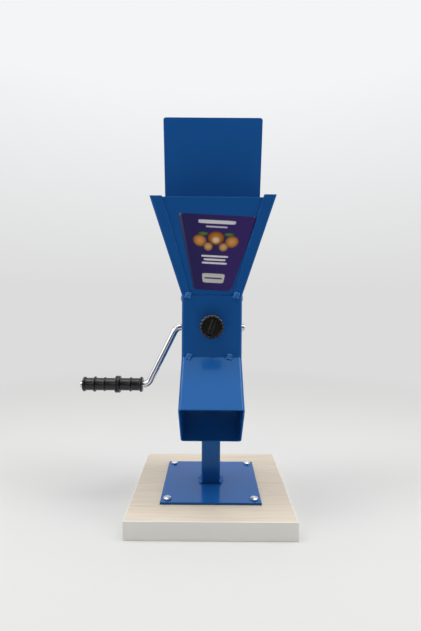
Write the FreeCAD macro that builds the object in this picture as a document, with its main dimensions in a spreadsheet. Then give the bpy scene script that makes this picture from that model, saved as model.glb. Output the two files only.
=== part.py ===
# Hand cranked nut cracker: a steel hopper on a square housing with a toothed roller inside,
# standing on a post that is screwed to a square board.
# Millimetres. X runs to the right, Y away from the user, Z up.
# The origin is the middle of the board's underside.
import FreeCAD, Part
import os
import re

import Sketcher

Vector = FreeCAD.Vector

doc = FreeCAD.newDocument("crank_nut_cracker")
nodes = []

# Two places nearer than this are the same, in millimetres.
NEAR = 1e-4
# A feature that changes the volume by less than this did nothing, in cubic millimetres.
NO_CHANGE = 1e-6
# Two directions whose cosine is nearer to 1 than this are parallel.
PARALLEL = 1e-6

# Driving dimensions: name, value, what it is.
SIZES = [
    ("board_side", 200, "square board, over its edge bands"),
    ("board_thickness", 22, "board"),
    ("edge_band_thickness", 1, "glued-on edge strip"),
    ("plate_side", 125, "square foot plate"),
    ("plate_thickness", 3, "foot plate"),
    ("screw_count", 4, "foot screws, spread evenly round the post"),
    ("screw_offset", 54, "foot screws, from the middle along X and along Y"),
    ("screw_head_diameter", 9.5, "pan head"),
    ("screw_head_height", 3.6, "pan head"),
    ("screw_shank_diameter", 4.5, "foot screw"),
    ("screw_length", 19, "foot screw under its head"),
    ("screw_hole_clearance", 0.4, "round the shank in the foot plate, on the radius"),
    ("post_side", 25, "square post tube"),
    ("post_wall", 2, "post tube"),
    ("post_corner_radius", 3, "post tube, outside"),
    ("foot_weld_height", 4, "weld bead along each side of the post's foot"),
    ("foot_weld_reach", 5.5, "the same bead, out from the post"),
    ("foot_weld_crest", 1.5, "the same bead, its thickness at both edges"),
    ("tube_side", 80, "square tube of housing and chute"),
    ("tube_wall", 2, "housing and chute"),
    ("tube_corner_radius", 4, "housing and chute, outside"),
    ("body_centre", 19, "middle of the housing, behind the post's axis"),
    ("mitre_height", 196.4, "front end of the mitre joint above the floor"),
    ("body_top", 278, "upper end of the housing above the floor"),
    ("chute_slope", 44, "degrees below the horizontal"),
    ("chute_length", 77.4, "upper side of the chute, from mitre to mouth"),
    ("hopper_height", 132, "hopper above the housing"),
    ("hopper_rim_width", 168.4, "hopper's outer width at its rim"),
    ("right_side_rise", 2.4, "right-hand hopper side above the rim"),
    ("sheet", 1.5, "hopper sheet metal"),
    ("flange_foot_width", 12.2, "folded flange at the housing"),
    ("flange_rim_width", 16.7, "folded flange at the rim"),
    ("fold_radius", 2.2, "outside of the hopper's folds"),
    ("panel_clearance", 0.2, "between a tucked panel and the folds' inner rounding"),
    ("front_panel_drop", 1.2, "front panel's upper edge below the rim"),
    ("back_panel_rise", 135, "back panel above the rim"),
    ("back_panel_foot_width", 142, "raised part of the back panel at the rim"),
    ("back_panel_head_width", 150, "raised part of the back panel at its top"),
    ("back_panel_radius", 4, "back panel's upper corners"),
    ("tack_length", 8, "weld tack"),
    ("tack_bulge", 1.7, "weld tack, how far it stands proud"),
    ("tack_leg", 3.6, "weld tack, how far it reaches from the joint on each side"),
    ("tack_crest", 2.4, "weld tack, its flat crest"),
    ("corner_tack_bulge", 2.8, "tack in the mitre's front corner, in front of the housing"),
    ("hopper_tack_offset", 32, "hopper's front and back tacks, from the middle along X"),
    ("left_chute_tack", 30.5, "left-hand tacks of the chute, from the middle along X"),
    ("right_chute_tack", 23, "right-hand tacks of the chute, from the middle along X"),
    ("side_tack_inset", 14, "side tack behind the housing's front face"),
    ("shaft_offset", 14, "shaft behind the housing's middle"),
    ("shaft_height", 231, "shaft above the floor"),
    ("rod_diameter", 10, "bent bar of shaft and crank"),
    ("shaft_end", 47.5, "right-hand end of the shaft, from the middle"),
    ("crank_out", 51.1, "first bend of the bar, from the middle"),
    ("crank_reach", 91.3, "second bend of the bar, from the middle"),
    ("crank_throw", 83.2, "grip's axis below the shaft's axis"),
    ("bend_radius", 12, "both bends, at the bar's axis"),
    ("grip_start", 99.4, "inner end of the grip, from the middle"),
    ("grip_length", 86, "grip"),
    ("grip_diameter", 17.6, "grip between its rings"),
    ("grip_clearance", 0.1, "between grip and bar, on the radius"),
    ("ring_thickness", 2.8, "single ring on the grip"),
    ("flange_diameter", 21.8, "over the inner and outer flange"),
    ("flange_thickness", 3.4, "inner flange"),
    ("outer_flange_inset", 3.6, "outer flange's middle, from the grip's outer end"),
    ("thumb_ring_place", 17.1, "from the grip's inner end"),
    ("thumb_ring_diameter", 20.5, "over the ring"),
    ("collar_place", 35.5, "collar's middle, from the grip's inner end"),
    ("collar_thickness", 6.8, "collar"),
    ("collar_diameter", 24.2, "over the collar"),
    ("middle_ring_place", 54.6, "from the grip's inner end"),
    ("middle_ring_diameter", 19.8, "over the ring"),
    ("outer_ring_place", 68.9, "from the grip's inner end"),
    ("outer_ring_diameter", 21.8, "over the ring"),
    ("grip_end_depth", 3, "hollow in the grip's outer end"),
    ("grip_end_diameter", 14.4, "hollow in the grip's outer end"),
    ("rod_stub", 3.6, "bar beyond the grip's outer end"),
    ("retainer_diameter", 13.6, "press-on ring in the grip's outer end"),
    ("retainer_thickness", 1.2, "press-on ring"),
    ("retainer_gap", 0.3, "between press-on ring and grip"),
    ("bush_diameter", 14, "shaft bush"),
    ("bush_inside", 1.5, "shaft bush beyond the wall's inner face, against the roller's end"),
    ("bush_proud", 0.6, "shaft bush outside the housing"),
    ("shaft_clearance", 0.05, "between shaft and bush, on the radius"),
    ("roller_diameter", 42, "over the roller's teeth"),
    ("roller_end_gap", 0.5, "between roller and bush"),
    ("tooth_count", 18, "teeth round the roller"),
    ("tooth_depth", 3, "roller tooth"),
    ("tooth_gap", 5.6, "space between two teeth at the tips"),
    ("pin_diameter", 4, "slotted spring pin"),
    ("pin_wall", 0.8, "slotted spring pin"),
    ("pin_slot", 0.8, "slotted spring pin"),
    ("nip", 13, "between roller teeth and jaw ridges at rest"),
    ("jaw_thickness", 4.5, "jaw plate"),
    ("ridge_height", 1.5, "jaw ridge"),
    ("ridge_pitch", 6, "jaw ridges"),
    ("ridge_count", 6, "jaw ridges"),
    ("ridge_land", 0.8, "flat top of a jaw ridge"),
    ("jaw_below_screw", 32, "jaw's lower edge below the screw"),
    ("jaw_above_screw", 12, "start of the jaw's lip above the screw"),
    ("lip_rise", 16, "jaw's lip"),
    ("lip_lean", 5.5, "jaw's lip towards the front"),
    ("jaw_side_clearance", 0.5, "between the jaw and each side wall"),
    ("rail_width", 4, "jaw ledge"),
    ("rail_thickness", 4, "jaw ledge"),
    ("rail_front_gap", 4, "between jaw ledge and front wall"),
    ("rail_length", 21, "jaw ledge"),
    ("rail_clearance", 0.1, "under the jaw"),
    ("knob_height", 238, "adjuster's axis above the floor"),
    ("knob_diameter", 31.5, "over the knob's flutes"),
    ("knob_thickness", 12, "knob"),
    ("knob_standoff", 9, "between knob and housing at rest"),
    ("flute_count", 16, "round the knob"),
    ("flute_width", 3.4, "knob flute at the rim"),
    ("flute_floor", 1.6, "knob flute, across its floor"),
    ("flute_depth", 1, "knob flute"),
    ("face_recess_diameter", 23, "knob face"),
    ("face_recess_depth", 2.5, "knob face"),
    ("face_bar_width", 5, "bar across the knob face"),
    ("face_bar_drop", 0.6, "bar below the knob's rim"),
    ("face_bar_lean", 18, "bar across the knob face, degrees from upright"),
    ("adjuster_diameter", 8, "adjuster screw"),
    ("adjuster_cover", 2.5, "knob plastic in front of the screw's end"),
    ("adjuster_clearance", 0.1, "between adjuster screw and nut, on the radius"),
    ("wall_hole_clearance", 0.6, "round the adjuster screw in the front wall, on the radius"),
    ("neck_diameter", 6, "turned-down end of the adjuster screw"),
    ("neck_length", 2.4, "turned-down end, in the jaw's web"),
    ("rivet_diameter", 9, "upset end of the adjuster screw"),
    ("rivet_thickness", 1.6, "upset end of the adjuster screw"),
    ("swivel_clearance", 0.1, "round and along the turned-down end"),
    ("nut_width", 13, "adjuster nut across flats"),
    ("nut_thickness", 6.5, "adjuster nut"),
]

# Places worked out from the driving dimensions.
PLACES = [
    ("plate_top", "board_thickness + plate_thickness"),
    ("body_front", "body_centre - tube_side / 2"),
    ("body_back", "body_centre + tube_side / 2"),
    ("inner_front", "body_centre - tube_side / 2 + tube_wall"),
    ("inner_back", "body_centre + tube_side / 2 - tube_wall"),
    ("inner_half", "tube_side / 2 - tube_wall"),
    ("slope_run", "cos(chute_slope * 1deg)"),
    ("slope_fall", "sin(chute_slope * 1deg)"),
    ("mitre_fall", "tube_side * tan((90 - chute_slope) * 1deg / 2)"),
    ("mouth_top_y", "body_centre - tube_side / 2 - chute_length * cos(chute_slope * 1deg)"),
    ("mouth_top_z", "mitre_height - chute_length * sin(chute_slope * 1deg)"),
    ("rim_height", "body_top + hopper_height"),
    ("side_lean", "(hopper_rim_width - tube_side) / 2 / hopper_height"),
    ("side_sheet", "sheet * sqrt(1 + ((hopper_rim_width - tube_side) / 2 / hopper_height) ^ 2)"),
    ("fold_inside", "(fold_radius - sheet)"
                    " * sqrt(1 + ((hopper_rim_width - tube_side) / 2 / hopper_height) ^ 2)"),
    ("shaft_y", "body_centre + shaft_offset"),
    ("bend_tangent", "bend_radius * tan(atan(crank_throw / (crank_reach - crank_out)) / 2)"),
    ("grip_height", "shaft_height - crank_throw"),
    ("rod_end", "grip_start + grip_length + rod_stub"),
    ("roller_half", "tube_side / 2 - tube_wall - bush_inside - roller_end_gap"),
    ("jaw_tips", "body_centre + shaft_offset - roller_diameter / 2 - nip"),
    ("jaw_face", "body_centre + shaft_offset - roller_diameter / 2 - nip - ridge_height"),
    ("jaw_back", "body_centre + shaft_offset - roller_diameter / 2 - nip - ridge_height - jaw_thickness"),
    ("jaw_low", "knob_height - jaw_below_screw"),
    ("jaw_half", "tube_side / 2 - tube_wall - jaw_side_clearance"),
    ("knob_back", "body_centre - tube_side / 2 - knob_standoff"),
    ("knob_front", "body_centre - tube_side / 2 - knob_standoff - knob_thickness"),
    ("adjuster_front", "body_centre - tube_side / 2 - knob_standoff - knob_thickness"
                       " + face_recess_depth + adjuster_cover"),
]


# The name of each cell, with the sheet that it is in.
CELLS = {row[0]: "Sizes." + row[0] for row in SIZES}
CELLS.update({row[0]: "Places." + row[0] for row in PLACES})


def formula(words):
    """An expression whose size and place names are found in their sheets."""
    return re.sub(r"(?<![\w.])[a-z]\w*", lambda found: CELLS.get(found.group(), found.group()), str(words))


def write_sheet(name, rows, is_worked_out):
    """A sheet with one named cell per row."""
    sheet = doc.addObject("Spreadsheet::Sheet", name)
    for line, row in enumerate(rows, start=1):
        sheet.set(f"A{line}", row[-1] if len(row) > 2 else row[0])
        sheet.set(f"B{line}", "=" + formula(row[1]) if is_worked_out else str(row[1]))
        sheet.setAlias(f"B{line}", row[0])


def new_body(name):
    """An empty body; its name is also the name of its file."""
    body = doc.addObject("PartDesign::Body", name)
    body.Label = name
    nodes.append(body)
    return body


def put_at(body, x="0", y="0", z="0"):
    """Bind the place of a body that is drawn round its own axis."""
    for axis, words in zip("xyz", (x, y, z)):
        body.setExpression(f"Placement.Base.{axis}", formula(words))


def origin_part(body, role):
    """One of a body's own origin planes or axes."""
    return next(part for part in body.Origin.OriginFeatures if part.Role == role)


def attach(item, body, plane, along="0", right="0", up="0"):
    """Lay a sketch or ring on an origin plane, moved along its normal and within it."""
    item.AttachmentSupport = [(origin_part(body, plane), "")]
    item.MapMode = "FlatFace"
    item.setExpression("AttachmentOffset.Base.x", formula(right))
    item.setExpression("AttachmentOffset.Base.y", formula(up))
    item.setExpression("AttachmentOffset.Base.z", formula(along))


def new_sketch(body, name, plane, along="0", right="0", up="0"):
    """An empty sketch. XY looks down, YZ has Y to the right and Z up, XZ has X to the right and faces -Y."""
    sketch = body.newObject("Sketcher::SketchObject", name)
    attach(sketch, body, plane, along, right, up)
    return sketch


def number(sketch, words):
    """The present value of a formula."""
    value = sketch.evalExpression(formula(words))
    return float(getattr(value, "Value", value))


def bind(sketch, kind, *references, words):
    """Add a dimension whose value is a formula."""
    value = number(sketch, words)
    if kind == "Angle":
        value = FreeCAD.Units.Quantity(value, FreeCAD.Units.Angle)
    index = sketch.addConstraint(Sketcher.Constraint(kind, *references, value))
    sketch.setExpression(f"Constraints[{index}]", formula(words))


def place_point(sketch, line, end, u, v):
    """Fix an end of a line, or a circle's middle, at u, v."""
    for kind, axis, words in (("DistanceX", -2, u), ("DistanceY", -1, v)):
        if words == "0":
            sketch.addConstraint(Sketcher.Constraint("PointOnObject", line, end, axis))
        else:
            bind(sketch, kind, -1, 1, line, end, words=words)


def draw_outline(sketch, corners):
    """Closed outline of straight sides; each corner is a pair of formulas."""
    first = sketch.GeometryCount
    count = len(corners)
    points = [Vector(number(sketch, u), number(sketch, v), 0) for u, v in corners]
    sides = [Part.LineSegment(points[i], points[(i + 1) % count]) for i in range(count)]
    sketch.addGeometry(sides, False)
    for i in range(count):
        sketch.addConstraint(Sketcher.Constraint("Coincident", first + i, 2, first + (i + 1) % count, 1))
    for i, (u, v) in enumerate(corners):
        place_point(sketch, first + i, 1, u, v)


def draw_rectangle(sketch, left, right, low, high):
    """Upright rectangle between four formulas."""
    draw_outline(sketch, [(left, low), (right, low), (right, high), (left, high)])


def draw_square(sketch, half):
    """Square about the sketch's origin."""
    draw_rectangle(sketch, f"-({half})", half, f"-({half})", half)


def draw_circle(sketch, diameter, u="0", v="0"):
    """Circle about u, v."""
    middle = Vector(number(sketch, u), number(sketch, v), 0)
    radius = number(sketch, diameter) / 2
    index = sketch.addGeometry(Part.Circle(middle, Vector(0, 0, 1), radius), False)
    place_point(sketch, index, 3, u, v)
    bind(sketch, "Diameter", index, words=diameter)


def arc_ends(sketch, arc, first_point):
    """Which end number of an arc lies at its first point, and which at its other."""
    starts_there = (sketch.getPoint(arc, 1) - first_point).Length < NEAR
    return (1, 2) if starts_there else (2, 1)


def add_feature(body, kind, name, profile=None):
    """A new feature at the end of a body."""
    feature = body.newObject("PartDesign::" + kind, name)
    if profile is not None:
        feature.Profile = (profile, [""])
    body.Tip = feature
    return feature


def check_change(body, before, feature, wants_more):
    """A pad must add material and a cut must take some away."""
    doc.recompute()
    after = body.Shape.Volume
    if (after > before + NO_CHANGE) != wants_more or abs(after - before) < NO_CHANGE:
        raise RuntimeError(f"{feature.Name} changed nothing: {before:.3f} to {after:.3f}")


def volume_of(body):
    """Volume so far."""
    doc.recompute()
    return 0.0 if body.Shape.isNull() else body.Shape.Volume


def pad(body, sketch, length, is_symmetric=False, is_reversed=False):
    """Raise a sketch into a solid."""
    before = volume_of(body)
    feature = add_feature(body, "Pad", sketch.Name + "_pad", sketch)
    feature.setExpression("Length", formula(length))
    feature.SideType = "Symmetric" if is_symmetric else "One side"
    feature.Reversed = is_reversed
    check_change(body, before, feature, True)
    return feature


def pocket(body, sketch, depth, is_symmetric=False, is_reversed=False):
    """Cut a sketch out of the solid, against the sketch's normal unless reversed."""
    before = volume_of(body)
    feature = add_feature(body, "Pocket", sketch.Name + "_cut", sketch)
    feature.setExpression("Length", formula(depth))
    feature.SideType = "Symmetric" if is_symmetric else "One side"
    feature.Reversed = is_reversed
    check_change(body, before, feature, False)
    return feature


def revolve(body, sketch, axis="H_Axis", angle="360", is_reversed=False):
    """Turn a sketch about one of its own axes."""
    before = volume_of(body)
    feature = add_feature(body, "Revolution", sketch.Name + "_turned", sketch)
    feature.ReferenceAxis = (sketch, [axis])
    feature.setExpression("Angle", formula(angle))
    feature.Reversed = is_reversed
    check_change(body, before, feature, True)
    return feature


def repeat_round(body, originals, axis, count):
    """Copies of features, or of the whole body where none is named, spread evenly about an axis."""
    feature = add_feature(body, "PolarPattern", body.Name + "_round")
    if originals:
        feature.Originals = originals
    else:
        feature.TransformMode = "Whole shape"
    feature.Axis = (origin_part(body, axis), [""])
    feature.Angle = 360
    feature.setExpression("Occurrences", formula(count))
    return feature


def repeat_mirrored(body, originals, plane):
    """A mirrored copy of features."""
    feature = add_feature(body, "Mirrored", body.Name + "_mirrored")
    feature.Originals = originals
    feature.MirrorPlane = (origin_part(body, plane), [""])
    return feature


def dress_edges(body, kind, name, size, is_wanted):
    """Fillet or chamfer every edge that passes a test."""
    doc.recompute()
    base = body.Tip
    names = [f"Edge{i}" for i, edge in enumerate(base.Shape.Edges, start=1) if is_wanted(edge)]
    feature = add_feature(body, kind, name)
    feature.Base = (base, names)
    feature.setExpression("Radius" if kind == "Fillet" else "Size", formula(size))
    doc.recompute()
    return feature


def runs_along(edge, direction):
    """Is the edge straight and parallel to a direction?"""
    if not isinstance(edge.Curve, (Part.Line, Part.LineSegment)):
        return False
    return abs(edge.tangentAt(edge.FirstParameter).dot(direction.normalize())) > 1 - PARALLEL


def size(name):
    """Present value of a cell."""
    sheet_name, cell = CELLS[name].split(".")
    return float(getattr(doc.getObject(sheet_name), cell))


def square_tube_edges(direction, half, is_outside):
    """Test for the long edges of a square tube: those on its side planes, outside or inside."""
    def is_wanted(edge):
        return runs_along(edge, Vector(direction)) and (
            (abs(abs(edge.CenterOfMass.x) - half) < NEAR) == is_outside)
    return is_wanted


def make_board():
    """Board without its edge bands, with pilot holes for the foot screws."""
    body = new_body("base_board")
    outline = new_sketch(body, "board_outline", "XY_Plane")
    draw_square(outline, "board_side / 2 - edge_band_thickness")
    pad(body, outline, "board_thickness")
    pilot = new_sketch(body, "board_pilot", "XY_Plane", along="board_thickness")
    draw_circle(pilot, "screw_shank_diameter", "screw_offset", "screw_offset")
    hole = pocket(body, pilot, "screw_length - plate_thickness")
    repeat_round(body, [hole], "Z_Axis", "screw_count")


def make_edge_bands():
    """Front and back bands run the full width and the side bands lie between them."""
    group = doc.addObject("Part::Compound", "edge_bands")
    group.Label = "edge_bands"
    half = "board_side / 2"
    band = "edge_band_thickness"
    boxes = [
        ("band_front", f"-{half}", f"-{half}", "board_side", band),
        ("band_back", f"-{half}", f"{half} - {band}", "board_side", band),
        ("band_left", f"-{half}", f"-{half} + {band}", band, f"board_side - 2 * {band}"),
        ("band_right", f"{half} - {band}", f"-{half} + {band}", band, f"board_side - 2 * {band}"),
    ]
    links = []
    for name, x, y, length, width in boxes:
        box = doc.addObject("Part::Box", name)
        box.setExpression("Length", formula(length))
        box.setExpression("Width", formula(width))
        box.setExpression("Height", formula("board_thickness"))
        put_at(box, x, y)
        links.append(box)
    group.Links = links
    nodes.append(group)


def make_plate():
    """Foot plate with its four screw holes."""
    body = new_body("base_plate")
    outline = new_sketch(body, "plate_outline", "XY_Plane", along="board_thickness")
    draw_square(outline, "plate_side / 2")
    pad(body, outline, "plate_thickness")
    drill = new_sketch(body, "plate_drill", "XY_Plane", along="plate_top")
    draw_circle(drill, "screw_shank_diameter + 2 * screw_hole_clearance", "screw_offset", "screw_offset")
    hole = pocket(body, drill, "plate_thickness")
    repeat_round(body, [hole], "Z_Axis", "screw_count")


def make_foot_screws():
    """Pan-head screws: one is turned, then repeated round the post."""
    body = new_body("base_screws")
    profile = new_sketch(body, "screw_profile", "XZ_Plane", along="-screw_offset", right="screw_offset",
                         up="plate_top")
    shank = "screw_shank_diameter / 2"
    draw_outline(profile, [
        ("0", "screw_head_height"),
        ("screw_head_diameter / 2", "screw_head_height"),
        ("screw_head_diameter / 2", "0"),
        (shank, "0"),
        (shank, "-screw_length"),
        ("0", "-screw_length"),
    ])
    revolve(body, profile, "V_Axis")
    repeat_round(body, [], "Z_Axis", "screw_count")


def make_post():
    """Square post tube, cut to the chute's slope at its top."""
    body = new_body("post_tube")
    side = new_sketch(body, "post_side_view", "YZ_Plane")
    slope = "tan(chute_slope * 1deg)"
    under_chute = ("mouth_top_z - tube_side * slope_run"
                   " + ({y} - mouth_top_y - tube_side * slope_fall) * " + slope)
    half = "post_side / 2"
    draw_outline(side, [
        (f"-{half}", "plate_top"),
        (half, "plate_top"),
        (half, under_chute.format(y=half)),
        (f"-{half}", under_chute.format(y=f"(-{half})")),
    ])
    pad(body, side, "post_side", is_symmetric=True)
    bore = new_sketch(body, "post_bore", "XY_Plane", along="plate_top")
    draw_square(bore, "post_side / 2 - post_wall")
    pocket(body, bore, "mitre_height", is_reversed=True)
    upright = Vector(0, 0, 1)
    dress_edges(body, "Fillet", "post_outer_corners", "post_corner_radius",
                square_tube_edges(upright, size("post_side") / 2, True))
    dress_edges(body, "Fillet", "post_inner_corners", "post_corner_radius - post_wall",
                square_tube_edges(upright, size("post_side") / 2 - size("post_wall"), True))


def make_foot_weld():
    """Weld beads along the left and right side of the post's foot, as long as its flat sides."""
    body = new_body("post_foot_weld")
    bead = new_sketch(body, "bead_section", "XZ_Plane")
    wall = "post_side / 2"
    draw_outline(bead, [
        (wall, "plate_top"),
        (f"{wall} + foot_weld_reach", "plate_top"),
        (f"{wall} + foot_weld_reach - foot_weld_crest / 2", "plate_top + foot_weld_crest"),
        (f"{wall} + foot_weld_crest", "plate_top + foot_weld_height"),
        (wall, "plate_top + foot_weld_height"),
    ])
    right_bead = pad(body, bead, "post_side - 2 * post_corner_radius", is_symmetric=True)
    repeat_mirrored(body, [right_bead], "YZ_Plane")


def make_body_tube():
    """Upright housing: square tube, mitred below, with bush holes and a hole for the adjuster."""
    body = new_body("body_tube")
    side = new_sketch(body, "body_side_view", "YZ_Plane")
    draw_outline(side, [
        ("body_front", "mitre_height"),
        ("body_back", "mitre_height - mitre_fall"),
        ("body_back", "body_top"),
        ("body_front", "body_top"),
    ])
    pad(body, side, "tube_side", is_symmetric=True)
    inside = new_sketch(body, "body_inside", "YZ_Plane")
    draw_rectangle(inside, "inner_front", "inner_back", "mitre_height - tube_side", "body_top + tube_wall")
    pocket(body, inside, "2 * inner_half", is_symmetric=True)
    upright = Vector(0, 0, 1)
    dress_edges(body, "Fillet", "body_outer_corners", "tube_corner_radius",
                square_tube_edges(upright, size("tube_side") / 2, True))
    dress_edges(body, "Fillet", "body_inner_corners", "tube_corner_radius - tube_wall",
                square_tube_edges(upright, size("inner_half"), True))
    bush_holes = new_sketch(body, "bush_holes", "YZ_Plane")
    draw_circle(bush_holes, "bush_diameter", "shaft_y", "shaft_height")
    pocket(body, bush_holes, "2 * tube_side", is_symmetric=True)
    screw_hole = new_sketch(body, "adjuster_hole", "XZ_Plane", along="-body_front")
    draw_circle(screw_hole, "adjuster_diameter + 2 * wall_hole_clearance", "0", "knob_height")
    pocket(body, screw_hole, "tube_wall")


def make_chute():
    """Square tube down to the front: mitred at the housing, cut square at its mouth."""
    body = new_body("chute_tube")
    side = new_sketch(body, "chute_side_view", "YZ_Plane")
    draw_outline(side, [
        ("body_front", "mitre_height"),
        ("mouth_top_y", "mouth_top_z"),
        ("mouth_top_y + tube_side * slope_fall", "mouth_top_z - tube_side * slope_run"),
        ("body_back", "mitre_height - mitre_fall"),
    ])
    pad(body, side, "tube_side", is_symmetric=True)
    inside = new_sketch(body, "chute_inside", "YZ_Plane")
    upper_y = "mouth_top_y + tube_wall * slope_fall"
    upper_z = "mouth_top_z - tube_wall * slope_run"
    lower_y = "mouth_top_y + (tube_side - tube_wall) * slope_fall"
    lower_z = "mouth_top_z - (tube_side - tube_wall) * slope_run"
    beyond = "(chute_length + 2 * tube_side)"
    draw_outline(inside, [
        (f"{upper_y} - tube_wall * slope_run", f"{upper_z} - tube_wall * slope_fall"),
        (f"{lower_y} - tube_wall * slope_run", f"{lower_z} - tube_wall * slope_fall"),
        (f"{lower_y} + {beyond} * slope_run", f"{lower_z} + {beyond} * slope_fall"),
        (f"{upper_y} + {beyond} * slope_run", f"{upper_z} + {beyond} * slope_fall"),
    ])
    pocket(body, inside, "2 * inner_half", is_symmetric=True)
    downhill = Vector(0, size("slope_run"), size("slope_fall"))
    dress_edges(body, "Fillet", "chute_outer_corners", "tube_corner_radius",
                square_tube_edges(downhill, size("tube_side") / 2, True))
    dress_edges(body, "Fillet", "chute_inner_corners", "tube_corner_radius - tube_wall",
                square_tube_edges(downhill, size("inner_half"), True))


def make_hopper_side(name, side):
    """Sloping sheet with a tapering flange folded in along its front and back; side is -1 left, 1 right."""
    body = new_body(name)
    height = "(hopper_height + right_side_rise)" if side > 0 else "hopper_height"
    top = f"body_top + {height}"
    foot = f"{side} * tube_side / 2"
    rim = f"{foot} + {side} * side_lean * {height}"
    rim_flange = f"(flange_foot_width + (flange_rim_width - flange_foot_width) * {height} / hopper_height)"
    wall = new_sketch(body, name + "_wall", "XZ_Plane", along="-body_back")
    draw_outline(wall, [
        (foot, "body_top"),
        (f"{foot} - {side} * side_sheet", "body_top"),
        (f"{rim} - {side} * side_sheet", top),
        (rim, top),
    ])
    pad(body, wall, "tube_side")
    for place, along in (("front", "-body_front - sheet"), ("back", "-body_back")):
        flange = new_sketch(body, f"{name}_{place}_flange", "XZ_Plane", along=along)
        draw_outline(flange, [
            (foot, "body_top"),
            (f"{foot} - {side} * flange_foot_width", "body_top"),
            (f"{rim} - {side} * {rim_flange}", top),
            (rim, top),
        ])
        pad(body, flange, "sheet")
    lean = Vector(side * size("side_lean"), 0, 1)
    outer_faces = (size("body_front"), size("body_back"))

    def is_outer_fold(edge):
        middle = edge.CenterOfMass
        return runs_along(edge, Vector(lean)) and min(abs(middle.y - face) for face in outer_faces) < NEAR

    dress_edges(body, "Fillet", name + "_folds", "fold_radius", is_outer_fold)
    inner_faces = (size("body_front") + size("sheet"), size("body_back") - size("sheet"))

    def is_inner_fold(edge):
        middle = edge.CenterOfMass
        at_face = min(abs(middle.y - face) for face in inner_faces) < NEAR
        return runs_along(edge, Vector(lean)) and at_face

    dress_edges(body, "Fillet", name + "_inner_folds", "fold_radius - sheet", is_inner_fold)


def panel_half(height):
    """Half the width of a panel tucked between the sloping sides, at a height above the housing."""
    return f"tube_side / 2 + ({height}) * side_lean - side_sheet - fold_inside - panel_clearance"


def make_front_panel():
    """Flat trapezoid sheet behind the front flanges."""
    body = new_body("hopper_front_panel")
    outline = new_sketch(body, "front_panel_outline", "XZ_Plane", along="-body_front - 2 * sheet")
    top = "hopper_height - front_panel_drop"
    draw_outline(outline, [
        (f"-({panel_half('0')})", "body_top"),
        (panel_half("0"), "body_top"),
        (panel_half(top), f"body_top + {top}"),
        (f"-({panel_half(top)})", f"body_top + {top}"),
    ])
    pad(body, outline, "sheet")


def make_back_panel():
    """Trapezoid sheet before the back flanges, with a narrower part that rises above the rim."""
    body = new_body("hopper_back_panel")
    outline = new_sketch(body, "back_panel_outline", "XZ_Plane", along="-body_back + sheet")
    top = "hopper_height - front_panel_drop"
    shoulder = f"body_top + {top}"
    crown = "rim_height + back_panel_rise"
    foot = "back_panel_foot_width / 2"
    head = "back_panel_head_width / 2"
    draw_outline(outline, [
        (f"-({panel_half('0')})", "body_top"),
        (panel_half("0"), "body_top"),
        (panel_half(top), shoulder),
        (foot, shoulder),
        (head, crown),
        (f"-{head}", crown),
        (f"-{foot}", shoulder),
        (f"-({panel_half(top)})", shoulder),
    ])
    pad(body, outline, "sheet")
    crown_height = size("rim_height") + size("back_panel_rise")
    dress_edges(body, "Fillet", "back_panel_corners", "back_panel_radius",
                lambda edge: runs_along(edge, Vector(0, 1, 0)) and edge.CenterOfMass.z > crown_height - NEAR)


def draw_tack(sketch, wall, height, side):
    """Section of a tack across a joint in an upright wall; side says which way it stands proud."""
    crest = f"({wall} + {side} * tack_bulge)"
    draw_outline(sketch, [
        (wall, f"{height} - tack_leg"),
        (crest, f"{height} - tack_crest / 2"),
        (crest, f"{height} + tack_crest / 2"),
        (wall, f"{height} + tack_leg"),
    ])


def make_hopper_tacks():
    """Weld tacks across the joint of hopper and housing: two in front, two behind, one each side."""
    body = new_body("hopper_weld_tacks")
    front = new_sketch(body, "front_tack", "YZ_Plane", along="hopper_tack_offset")
    draw_tack(front, "body_front", "body_top", -1)
    front_tack = pad(body, front, "tack_length", is_symmetric=True)
    back = new_sketch(body, "back_tack", "YZ_Plane", along="hopper_tack_offset")
    draw_tack(back, "body_back", "body_top", 1)
    back_tack = pad(body, back, "tack_length", is_symmetric=True)
    side = new_sketch(body, "side_tack", "XZ_Plane", along="-body_front - side_tack_inset")
    draw_tack(side, "tube_side / 2", "body_top - tack_leg", 1)
    side_tack = pad(body, side, "tack_length", is_symmetric=True)
    repeat_mirrored(body, [front_tack, back_tack, side_tack], "YZ_Plane")


def make_chute_tacks():
    """Weld tacks in the mitre's front corner and round its back corner, spaced unevenly by hand."""
    body = new_body("chute_weld_tacks")
    corner = "(mitre_height - mitre_fall)"
    half_leg_out = "tack_leg / 2 * slope_run"
    half_leg_down = "tack_leg / 2 * slope_fall"
    for hand, place in (("left", "-left_chute_tack"), ("right", "right_chute_tack")):
        front = new_sketch(body, f"{hand}_front_tack", "YZ_Plane", along=place)
        draw_outline(front, [
            ("body_front", "mitre_height"),
            ("body_front - tack_leg * slope_run", "mitre_height - tack_leg * slope_fall"),
            ("body_front - corner_tack_bulge", "mitre_height"),
            ("body_front", "mitre_height + tack_leg"),
        ])
        pad(body, front, "tack_length", is_symmetric=True)
        back = new_sketch(body, f"{hand}_back_tack", "YZ_Plane", along=place)
        draw_outline(back, [
            ("body_back", corner),
            ("body_back", f"{corner} + tack_leg"),
            ("body_back + tack_bulge", corner),
            (f"body_back - {half_leg_out} + tack_bulge * slope_fall",
             f"{corner} - {half_leg_down} - tack_bulge * slope_run"),
            ("body_back - tack_leg * slope_run", f"{corner} - tack_leg * slope_fall"),
        ])
        pad(body, back, "tack_length", is_symmetric=True)


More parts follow.
